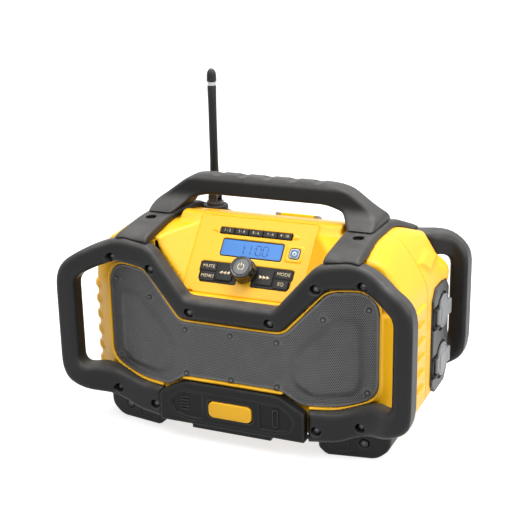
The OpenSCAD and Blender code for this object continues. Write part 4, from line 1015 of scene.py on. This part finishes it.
# Rear cage: a loop at each side, joined under the battery door.
rearOutline = soften([
    (74, 190, 4), (74, 214, 6), (104, 231, 14), (196, 231, 24), (cage["loopX"], 204, 20), (cage["loopX"], 66, 30),
    (196, 44, 20), (160, 38, 12), (131, 25, 12), (84, 25, 4), (84, 50, 8), (112, 62, 10), (160, 72, 10), (178, 85, 8),
    (cage["loopIn"], 85, 14), (cage["loopIn"], 200, 14), (172, 200, 4), (110, 196, 8)])
rearBand = mirrored([
    (70, 122, 6), (162, 115, 14), (cage["loopIn"] - 4, cage["loopY"], 14), (cage["loopX"], cage["loopY"], 3),
    (cage["loopX"], cage["loopBack"], 3), (cage["loopIn"] + 2, cage["loopBack"], 6), (185, 90, 10), (165, 90, 0),
    (60, 100, 0)])
rearBar = soften([(-132, 25, 0), (132, 25, 0), (132, 60, 0), (84, 50, 4), (-84, 50, 4), (-132, 60, 0)])
rearScrews = [(160, 214), (104, 214), (159, 54), (106, 40)]


def rearCageField(x, y, z, r=0.0):
    loop = distance(rearOutline, np.abs(x), z)
    bar = every(np.abs(x) - 132, distance(rearBar, x, z))
    return roundBoth(either(loop, bar), distance(rearBand, x, y), r)


def rearFace(px):
    return body["rear"] + 13 - (px - 70) * 7 / 92


def rearSeat(x):
    return 100 - np.clip(x - 60, 0, 105) * 10 / 105


def makeRearCage():
    x, y, z, grid = gridOf((-230.5, 87, 22), (230.5, 137.5, 234), 1.5)
    solid = rearCageField(x, y, z, 7.5)
    for spot in rearScrews:
        hole = fromScrew(x, z, spot)
        mouth = rearFace(spot[0]) - screwHole["deep"] - y
        solid = less(less(solid, every(hole - screwHole["radius"], mouth), 1.0), hole - 2.3)
    moulded("rearCage", solid, grid, "cageRubber", "radio", ["rear_cage"], 0.75)


# Handle, saddles and feet.
antenna = {"x": -102.0, "y": 64.0, "mount": 250.0, "pivot": 261.0, "radius": 6.2, "top": 158.0}
grip = {"y": 6.0, "deep": 30.0, "top": 309.0, "low": 282.0, "width": 184.0, "chamfer": 8.0, "grooves": 5}


def makeHandle():
    x, y, z, grid = gridOf((-152, -41, 259), (152, 43, 312), 1.15)
    g, c, half, top, under = grip, grip["chamfer"], grip["width"] / 2, grip["top"], grip["low"]
    front = mirrored([(half - 13, under, 10), (half + 8, under - 6, 4), (114, 262, 0), (114, 254, 0), (148, 254, 0),
                      (148, 271, 6), (half + 9, top - 4, 16), (half - 14, top, 8)], 8)
    a, b = g["y"] - g["deep"] / 2, g["y"] + g["deep"] / 2
    side = soften([(-41, 254, 0), (39, 254, 0), (36, 262, 0), (b, under - 4, 8), (b, top - c, 3), (b - c, top, 3),
                   (a + c, top, 3), (a, top - c, 3), (a, under - 4, 8), (-38, 262, 0)])
    solid = roundBoth(distance(front, x, z), distance(side, y, z), 4.5)
    for i in range(g["grooves"]):
        solid = less(solid, rod(x, z, ((i - 2) * 33, top + 8.6), 12), 0.5)
    moulded("carryHandle", every(solid, 262 - z), grid, "cageRubber", "radio", ["handle"], 0.8)


# One saddle band on the right; x is the distance from the middle.
def saddleField(x, y, z):
    side = soften([(-108, 238, 0), (-108, 247.2, 6), (-97, 252, 8), (-38, 262, 16), (36, 262, 22), (100, 238, 10),
                   (112, 232, 3), (112, 218, 0), (32, 229, 0), (-34, 229, 0)])
    front = soften([(111, 228, 0), (113.6, 262, 4), (150, 262, 5), (163, 228, 0)])
    return roundBoth(distance(side, y, z), distance(front, x, z), 3.0)


def span(side, a, b):
    return sorted((side * a, side * b))


def makeSaddles():
    tilt = math.radians(12)
    for side, name in ((-1, "Left"), (1, "Right")):
        x0, x1 = span(side, 94, 166)
        x, y, z, grid = gridOf((x0, -113, 225), (x1, 115, 265), 1.5)
        solid = less(saddleField(x * side, y, z), bodyField(x, y, z) - 0.3, 1.0)
        solid = less(solid, cageField(x, y, z) - 0.4, 0.8)
        solid = less(solid, rearCageField(x, y, z) - 0.4)
        dy, dz = y + 50, z - 259.4
        across = np.hypot(x * side - 135, dy * math.cos(tilt) + dz * math.sin(tilt))
        deep = -dy * math.sin(tilt) + dz * math.cos(tilt)
        solid = less(solid, every(across - 6.6, -6 - deep), 0.8)
        if side < 0:
            solid = less(solid, rod(x, y, (antenna["x"], antenna["y"]), 17.3))
        moulded("saddle" + name, solid, grid, "cageRubber", "radio", ["saddle_" + name.lower()], 0.8)


foot = {"screwX": 156.4, "screwZ": 19, "front": -96, "slope": 0.16}


# A foot at the front right; x and y are distances from the middle, y negative.
def footField(x, y, z):
    outline = soften([(101, 40, 0), (101, 10, 4), (112, 0, 4), (172, 0, 8), (187, 13, 8), (189, 40, 0)])
    plan = soften([(101, -96, 5), (189, foot["front"] + 88 * foot["slope"], 5), (189, -42, 5), (101, -50, 5)])
    face = foot["front"] + (x - 101) * foot["slope"]
    solid = roundBoth(distance(outline, x, z), distance(plan, x, y), 2.2)
    inset = soften([(112, 24, 3), (112, 17, 4), (121, 9, 4), (140, 9, 3), (140, 24, 3)])
    solid = less(solid, every(np.abs(distance(inset, x, z)) - 1.0, y - face - 1.4), 0.5)
    hole = rod(x, z, (foot["screwX"], foot["screwZ"]), 0)
    solid = less(solid, every(hole - screwHole["radius"], y - face - 2.5), 0.8)
    lug = every(near(x, foot["screwX"], 6.3), between(y, -80.9, -67.3))
    return every(less(solid, every(lug, 10.8 - z)), z - 30)


def makeFeet():
    for sideX, nameX in ((-1, "left"), (1, "right")):
        for sideY, nameY in ((1, "front"), (-1, "rear")):
            (x0, x1), (y0, y1) = span(sideX, 99, 191), span(sideY, -98, -40)
            x, y, z, grid = gridOf((x0, y0, -2), (x1, y1, 32), 1.3)
            taken = cageField(x, y, z) if sideY > 0 else rearCageField(x, y, z)
            solid = less(footField(x * sideX, y * sideY, z), taken - 0.3)
            moulded("foot" + nameY.capitalize() + nameX.capitalize(), solid, grid, "cageRubber", "radio",
                    ["foot_" + nameY + "_" + nameX], 0.8)


# Rear shell.
batteryHinge, batteryPivot = (115, 64), (115.5, 219)


def plateEdge(grow=0.0, corner=2.0):
    y0, y1, z0, z1, c = 18 - grow, 86 + grow, 44 - grow, 180 + grow, 13
    return soften([(y0, z0 + c, corner), (y0 + c, z0, corner), (y1 - c, z0, corner), (y1, z0 + c, corner),
                   (y1, z1 - c, corner), (y1 - c, z1, corner), (y0 + c, z1, corner), (y0, z1 - c, corner)])


def makeRearShell():
    x, y, z, grid = gridOf((-211, -2, 8), (211, 122, 267), 1.6)
    ax = np.abs(x)
    bulge = np.sqrt((ax - 191) ** 2 + ((y - 78) * 0.8) ** 2 + (z - 185) ** 2) - 18
    solid = roundEither(dressShoulder(bodyField(x, y, z), ax, y, z), bulge, 7)
    inner = every(bodyField(x, y, z, body["wall"]), y - rearSeat(ax) + body["wall"],
                  body["wall"] - shoulderCut(ax, y, z))
    solid = less(solid, inner)
    for spot in rearScrews:
        hole, seat = fromScrew(x, z, spot), rearSeat(spot[0])
        solid = either(solid, every(hole - 4.5, 2.15 - hole, between(y, seat - 12, seat)))
    ear = roundBoth(between(ax, 71.2, 77.2), roundBoth(between(y, 100, 120), between(z, 58, 69), 2), 0.8)
    lugs = roundBoth(between(ax, 150.4, 162.4), between(y, 67.6, 80.6), 0.5)
    solid = either(solid, ear, every(lugs, between(z, 11, 32)))
    solid = less(solid, rearCageField(x, y, z) - 0.25)
    mouth = every(ax - 62, between(z, 72, 188), 20 - y)
    recess = every(ax - 70.6, between(z, 60, 214.6), 105 - y)
    plate = every(distance(plateEdge(0.3), y, z), 196 - x)
    inlet = every(rod(y, z, (40, 70), 8.05), x + 190)
    pin = every(rod(y, z, batteryHinge, 2.55), ax - 90)
    solid = every(less(solid, either(mouth, recess, plate, inlet, pin)), splitGap - y)
    moulded("rearShell", solid, grid, "yellowShell", "radio", ["rear_housing"], 0.45)


makeHandle()
makeSaddles()
makeFeet()
makeRearCage()
makeRearShell()
print("handle, feet and rear half made")


# Side sockets.
sockets = {"y": 57.0, "z": (143.0, 79.0), "radius": 19.8, "flap": 23.5, "hinge": (210.0, 30.5)}


def windowField(y, z, middle, grow):
    disc = rod(y, z, (sockets["y"], middle), sockets["flap"]) - grow
    notch = every(between(y, sockets["hinge"][1] - 11 - grow, sockets["y"]), near(z, middle, 13) - grow)
    return either(disc, notch)


def makeSocketPlate():
    x, y, z, grid = gridOf((200.6, 16.5, 42.4), (210.2, 87.5, 181.6), 0.8)
    plate = roundBoth(distance(plateEdge(), y, z), between(x, 201.8, 208.6), 0.8)
    for middle in sockets["z"]:
        plate = less(plate, windowField(y, z, middle, 1.5), 0.5)
    for i in range(3):  # vent lines between the two windows
        line = every(near(z - 105.5, i * 5.5, 0.7), between(y, 66, 80))
        plate = less(plate, every(line, 207.8 - x), 0.3)
    moulded("socketPlate", plate, grid, "plateGrey", "radio", ["socket_plate"], 0.5)


def makeSocketModules():
    x, y, z, grid = gridOf((182, 16.5, 50), (214, 84, 171), 1.0)
    solid = 1e3
    for middle in sockets["z"]:
        disc = rod(y, z, (sockets["y"], middle), 0)
        face = every(windowField(y, z, middle, 1.3), between(x, 201.8, 206.4))
        one = either(face, every(disc - 22.8, between(x, 183.5, 202)))
        for way in (-1, 1):
            mid = middle + way * 11.6
            ear = roundBoth(between(y, 20.5, 33.1), between(z, mid - 1.6, mid + 1.6), 0.8)
            one = either(one, roundBoth(ear, between(x, 206, 212.6), 1.6))
        one = either(one, every(between(y, 20.5, 26.5), near(z, middle, 10.6), between(x, 206, 208.6)))
        one = less(one, every(disc - sockets["radius"], 189.5 - x), 0.6)
        for way in (-1, 1):
            contact = np.hypot(y - sockets["y"] - way * 9.5, z - middle) - 2.6
            one = less(one, every(contact, 185.6 - x))
        solid = either(solid, less(one, rod(x, y, sockets["hinge"], 1.3)))
    moulded("socketModules", solid, grid, "hardBlack", "radio", ["socket_modules"], 0.6)


def makeFlaps():
    for name, middle in zip(("Upper", "Lower"), sockets["z"]):
        x, y, z, grid = gridOf((206.6, 26, middle - 25), (214.8, 83.6, middle + 25), 0.62)
        away = np.hypot(y - sockets["y"] - 1.5, z - middle)
        flap = roundBoth(away - 21.4, between(x, 207.6, 211), 0.9)
        flap = less(flap, every(near(away, 18.4, 0.6), 210.2 - x), 0.3)
        arm = roundBoth(near(z, middle, 9), between(y, 30.5, 57), 0.8)
        barrel = every(rod(x, y, sockets["hinge"], 2.6), near(z, middle, 9))
        pin = every(rod(x, y, sockets["hinge"], 1.2), near(z, middle, 12.6))
        pull = roundBoth(roundBoth(near(z, middle, 10), between(y, 43, 79.5), 2.0), between(x, 209, 212.2), 0.9)
        tip = roundBoth(roundBoth(near(z, middle, 10), between(y, 65, 81.5), 2.0), x - 213.9 + (81.5 - y) * 0.1, 0.9)
        flap = either(flap, roundBoth(arm, between(x, 208.8, 211), 0.8), barrel, pin, pull, every(tip, 210 - x))
        for i in range(3):
            line = every(near(y - 69, i * 3.6, 0.6), near(z, middle, 7))
            flap = less(flap, every(line, 212.3 + 0.1 * (y - 68) - x), 0.25)
        rides = "flap_" + name.lower()
        moulded("flap" + name, flap, grid, "flapGrey", rides, [rides], 0.6)


# Antenna.
def onAntenna(x, y, z):
    return asItIs(x + antenna["x"], y + antenna["y"], z)


def turned(profile):
    return latheMesh(profile, 40, onAntenna)


def makeMast():
    base, r, top = antenna["pivot"] + 8, antenna["radius"], antenna["top"]
    neck, tip, domeLow = base + top - 21, base + top - 17, base + top - 9
    shaft = turned([
        (0, base), (r - 0.2, base), (r - 0.15, base + 12), (r - 0.9, base + 40), (r - 0.9, neck - 25),
        (r - 0.5, neck - 2), (r - 0.9, neck - 0.4), (r - 1.2, neck), (0, neck)])
    dome = [((r - 0.2) * math.cos(math.radians(a)), domeLow + 9 * math.sin(math.radians(a))) for a in range(12, 90, 12)]
    crown = turned([(0, tip), (r - 0.9, tip), (r, tip + 0.8), (r, tip + 3), (r - 0.2, domeLow)] + dome
                   + [(0, base + top)])
    ring = turned([(0, neck - 0.5), (r - 1.0, neck - 0.5), (r - 0.95, neck), (r - 0.95, tip), (r - 1.0, tip + 0.5),
                   (0, tip + 0.5)])
    x, y, z, grid = gridOf((-6.5, -6.5, 255), (6.5, 6.5, 271), 0.6)
    pivot = (0, antenna["pivot"])
    eye = every(rod(x, z, pivot, 5), np.abs(y) - 5)
    block = every(np.abs(x) - 5, np.abs(y) - 5, between(z, antenna["pivot"], 270))
    points, faces = surfaceOf(less(either(eye, block), rod(x, z, pivot, 2.05), 0.2), grid)
    root = meshFrom("root", onAntenna(*points.T), faces)
    place("antennaMast", joined([joined([shaft, crown]), root]), "cageRubber", "antenna_mast", ["antenna_mast"])
    place("antennaRing", ring, "steel", "antenna_mast")


def makeAntennaMount():
    x0, y0, top = antenna["x"], antenna["y"], antenna["mount"]
    x, y, z, grid = gridOf((x0 - 18.5, y0 - 18.5, 222), (x0 + 18.5, y0 + 18.5, 252), 1.0)
    disc = np.hypot(x - x0, y - y0)
    mount = roundBoth(disc - 17, between(z, 222, top), 3.0)
    mount = less(mount, every(near(disc, 12.4, 0.7), top - 0.8 - z), 0.3)
    mount = less(mount, every(disc - 5.05, top - 7 - z))
    mount = less(less(mount, bodyField(x, y, z) - 0.1), rearCageField(x, y, z) - 0.2)
    moulded("antennaMount", mount, grid, "hardBlack", "radio", ["antenna_mount"], 0.8)


makeSocketPlate()
makeSocketModules()
makeFlaps()
makeMast()
makeAntennaMount()
print("sockets and antenna made")


# Battery door and its latch.
def makeBatteryDoor():
    x, y, z, grid = gridOf((-78, 104.5, 57), (78, 121.5, 225), 1.0)
    ax = np.abs(x)
    door = roundBoth(distance(rectangle(0, 139, 140, 150, 8), x, z), between(y, 106, 112), 1.6)
    raised = roundBoth(distance(rectangle(0, 142, 108, 116, 10), x, z), between(y, 106, 113.6), 1.4)
    knuckle = every(rod(y, z, batteryHinge, 4.5), ax - 70)
    web = every(ax - 70, between(y, 108, 115), between(z, 64, 68.5))
    pin = every(rod(y, z, batteryHinge, 2.5), ax - 76.2)
    ear = roundBoth(between(ax, 31.6, 36.6), roundBoth(between(y, 111.5, 119.5), between(z, 202, 223), 2), 0.6)
    door = either(door, raised, knuckle, web, pin, less(ear, rod(y, z, batteryPivot, 1.85)))
    for i in range(9):  # finger ribs
        rib = roundBoth(near(z - 112, i * 8, 1.5), ax - 40, 1.2)
        door = either(door, roundBoth(rib, between(y, 112, 115.0), 0.9))
    moulded("batteryDoor", door, grid, "hardBlack", "battery_door", ["battery_door"], 0.5)


def makeBatteryLatch():
    x, y, z, grid = gridOf((-37, 95, 214.5), (37, 119.5, 238.5), 0.8)
    ax = np.abs(x)
    shape = soften([(96.5, 233, 0.8), (97.5, 237, 1.2), (105.5, 234, 2.5), (118, 222.5, 2), (118, 216, 1),
                    (113.5, 216, 1), (113.1, 221, 2)])
    latch = roundBoth(distance(shape, y, z), ax - 31, 1.0)
    for i in range(5):
        line = every(ax - 18, near(y - 103, i * 2.6, 0.5))
        latch = less(latch, every(line, (235.2 - (y - 103) * 0.92) - z), 0.3)
    ends = either(every(latch, 23 - ax), every(rod(y, z, batteryPivot, 1.8), ax - 36))
    moulded("batteryLatch", every(latch, ax - 23), grid, "yellowShell", "battery_latch", ["battery_latch"], 0.7)
    moulded("batteryLatchEnds", ends, grid, "flapGrey", "battery_latch", keep=0.7)


makeBatteryDoor()
makeBatteryLatch()


# Round screw heads with a six-lobed recess, on points that carry their turn and size.
def screwTree():
    tree, source, sink = newTree("panScrews", "GeometryNodeTree", {
        "Geometry": "NodeSocketGeometry", "Head Radius": 0.0046, "Head Height": 0.003, "Recess Radius": 0.0021,
        "Recess Depth": 0.0016, "Material": "NodeSocketMaterial"}, ["Geometry"], "NodeSocketGeometry")
    given = source.outputs
    head = firstOut(tree, "GeometryNodeMeshCylinder", {
        "Vertices": 36, "Side Segments": 1, "Fill Segments": 9, "Radius": given["Head Radius"],
        "Depth": given["Head Height"]}, fill_type="TRIANGLE_FAN")
    spot = firstOut(tree, "GeometryNodeInputPosition")
    parts = addNode(tree, "ShaderNodeSeparateXYZ", {0: spot}).outputs
    far = fromAxis(tree, spot)
    turn = calc(tree, "MULTIPLY", calc(tree, "ARCTAN2", parts["Y"], parts["X"]), 6.0)
    lobes = calc(tree, "MULTIPLY_ADD", calc(tree, "COSINE", turn), 0.14, 1.0)
    inside = calc(tree, "LESS_THAN", far, calc(tree, "MULTIPLY", given["Recess Radius"], lobes))
    top = calc(tree, "GREATER_THAN", parts["Z"], 0.0)
    driven = calc(tree, "MULTIPLY", inside, top)
    sunk = calc(tree, "MULTIPLY", driven, given["Recess Depth"])
    share = calc(tree, "POWER", calc(tree, "DIVIDE", far, given["Head Radius"]), 4.0)
    dome = calc(tree, "MULTIPLY", calc(tree, "MULTIPLY", share, given["Head Height"]), top)
    down = calc(tree, "MULTIPLY", calc(tree, "ADD", sunk, calc(tree, "MULTIPLY", dome, 0.32)), -1.0)
    # this mark of the drive carries a painted glint in the screw material
    head = firstOut(tree, "GeometryNodeStoreNamedAttribute", {"Geometry": head, "Name": "recess", "Value": driven},
                    data_type="FLOAT", domain="POINT")
    offset = firstOut(tree, "ShaderNodeCombineXYZ", {"Z": down})
    head = firstOut(tree, "GeometryNodeSetPosition", {"Geometry": head, "Offset": offset})
    turn = firstOut(tree, "GeometryNodeInputNamedAttribute", {"Name": "turn"}, data_type="FLOAT_VECTOR")
    size = firstOut(tree, "GeometryNodeInputNamedAttribute", {"Name": "size"}, data_type="FLOAT")
    return spreadOut(tree, source, sink, {"Instance": head, "Rotation": turn, "Scale": size})


def makeScrews():
    small, halfHead, deep = 3.8 / 4.6, 1.5, screwHole["deep"]
    places, turns, sizes = [], [], []

    def add(x, y, z, yaw, size, spin):
        outward = Matrix.Rotation(yaw, 3, "Z") @ Matrix.Rotation(math.pi / 2, 3, "X") @ Matrix.Rotation(spin, 3, "Z")
        places.append((x, y, z))
        turns.append(tuple(outward.to_euler()))
        sizes.append(size)

    for side in (-1, 1):
        for n, (px, pz) in enumerate(cageScrews):
            add(side * px, -bandFront(px) + deep - halfHead, pz, 0, 1, 0.3 + n * 0.7 + side * 0.2)
        for n, (px, pz) in enumerate(rearScrews):
            add(side * px, rearFace(px) - deep + halfHead, pz, math.pi, 1, 0.5 + n * 0.9)
        for way in (-1, 1):
            face = foot["front"] + 55.4 * foot["slope"] + 2.5
            add(side * foot["screwX"], -way * (face - halfHead), foot["screwZ"], math.pi if way > 0 else 0, 1,
                0.9 * side)
        for n, (px, pz) in enumerate(grilleScrews):
            if px == 0 and side < 0:
                continue
            swing = side * body["sweep"] if px > 64 else 0
            add(side * px, -facetAt(px) - 0.8 + halfHead * small, pz, swing, small, 0.4 + n)
    mesh = meshFrom("screwPlaces", np.array(places), [])
    mesh.attributes.new("turn", "FLOAT_VECTOR", "POINT").data.foreach_set("vector", np.array(turns).ravel())
    mesh.attributes.new("size", "FLOAT", "POINT").data.foreach_set("value", np.array(sizes))
    made = runTree(mesh, screwTree(), {"Material": finishes["screwBlack"]})
    place("screwHeads", tidied(made), "screwBlack", "radio", ["screws"])
    print("screwHeads", len(places), "screws")


makeScrews()

# Camera, light and floor.
shot = {"lens": 1158.9 / 530 * 36, "azimuth": math.radians(23.64), "height": math.radians(18.03),
        "roll": math.radians(-1.05), "shiftX": -26.5, "shiftY": -62.3, "distance": 1098.0,
        "scale": 1.2535, "origin": (0.0, -96.8, 143.5)}
lamps = {
    "keyLamp": {"at": (-0.6, -1.2, 2.1), "size": 1.2, "power": 17.0},
    "sideLamp": {"at": (1.9, -0.6, 1.3), "size": 1.2, "power": 25.0},
    "topLamp": {"at": (0.2, 0.3, 2.1), "size": 1.4, "power": 36.0},
}


def makeCamera():
    a, e, turn = shot["azimuth"], shot["height"], shot["roll"]
    back = Vector((math.sin(a) * math.cos(e), -math.cos(a) * math.cos(e), math.sin(e)))
    level = Vector((math.cos(a), math.sin(a), 0))
    upright = back.cross(level)
    right = level * math.cos(turn) + upright * math.sin(turn)
    up = upright * math.cos(turn) - level * math.sin(turn)
    spot = back * shot["distance"] - right * shot["shiftX"] - up * shot["shiftY"]
    data = bpy.data.cameras.new("camera")
    data.lens, data.sensor_width = shot["lens"], 36
    data.clip_start, data.clip_end = 0.05, 30
    camera = bpy.data.objects.new("camera", data)
    bpy.context.collection.objects.link(camera)
    facing = Matrix((right, up, back)).transposed().to_4x4()
    camera.matrix_world = Matrix.Translation((spot * shot["scale"] + Vector(shot["origin"])) * 0.001) @ facing
    bpy.context.scene.camera = camera


def makeLamps():
    for name, lamp in lamps.items():
        data = bpy.data.lights.new(name, "AREA")
        data.energy, data.size = lamp["power"], lamp["size"]
        thing = bpy.data.objects.new(name, data)
        thing.location = lamp["at"]
        thing.rotation_mode = "QUATERNION"
        thing.rotation_quaternion = (Vector(lamp["at"]) - Vector((0, 0, 0.13))).to_track_quat("Z", "Y")
        bpy.context.collection.objects.link(thing)


# One where the camera looks straight, through glass or by a reflection.
def seenDirectly(tree):
    path = addNode(tree, "ShaderNodeLightPath").outputs
    clear = calc(tree, "MAXIMUM", path["Is Camera Ray"], path["Is Transmission Ray"])
    return calc(tree, "MAXIMUM", clear, path["Is Glossy Ray"])


# White backdrop: bright behind and above the object, dim where the camera stands.
def makeWorld():
    world = bpy.data.worlds.new("studio")
    world.use_nodes = True
    tree = world.node_tree
    tree.nodes.clear()
    generated = addNode(tree, "ShaderNodeTexCoord").outputs["Generated"]
    toward = addNode(tree, "ShaderNodeSeparateXYZ", {0: generated}).outputs

    def fade(value, start, end, low, high):
        return firstOut(tree, "ShaderNodeMapRange", {
            "Value": value, "From Min": start, "From Max": end, "To Min": low, "To Max": high},
            interpolation_type="SMOOTHSTEP")

    level = calc(tree, "MAXIMUM", fade(toward["Y"], -0.35, 0.35, 0.11, 1.0), fade(toward["Z"], 0.25, 0.95, 0.0, 0.9))
    soft, white = [firstOut(tree, "ShaderNodeBackground", {"Color": (1, 1, 1, 1), "Strength": strength})
                   for strength in (level, 1.0)]
    both = firstOut(tree, "ShaderNodeMixShader", {0: seenDirectly(tree), 1: soft, 2: white})
    addNode(tree, "ShaderNodeOutputWorld", {"Surface": both})
    bpy.context.scene.world = world
    bpy.context.scene.view_settings.view_transform = "Standard"


# A pale floor that meets the backdrop without a line; the shadow stays.
def makeFloor():
    far, under = 6000, -0.4
    mesh = meshFrom("floor", [(-far, -far, under), (far, -far, under), (far, far, under), (-far, far, under)],
                    [(0, 1, 2, 3)])
    material = bpy.data.materials.new("paleFloor")
    material.use_nodes = True
    tree = material.node_tree
    tree.nodes.clear()
    matt = firstOut(tree, "ShaderNodeBsdfDiffuse", {"Color": (0.5, 0.5, 0.5, 1)})
    lift = calc(tree, "MULTIPLY", seenDirectly(tree), 0.74)
    white = firstOut(tree, "ShaderNodeEmission", {"Color": (1, 1, 1, 1), "Strength": lift})
    addNode(tree, "ShaderNodeOutputMaterial", {"Surface": firstOut(tree, "ShaderNodeAddShader", {0: matt, 1: white})})
    floor = bpy.data.objects.new("floor", mesh)
    mesh.materials.append(material)
    bpy.context.collection.objects.link(floor)


makeCamera()
makeLamps()
makeWorld()
makeFloor()
print("camera, lamps and floor made")
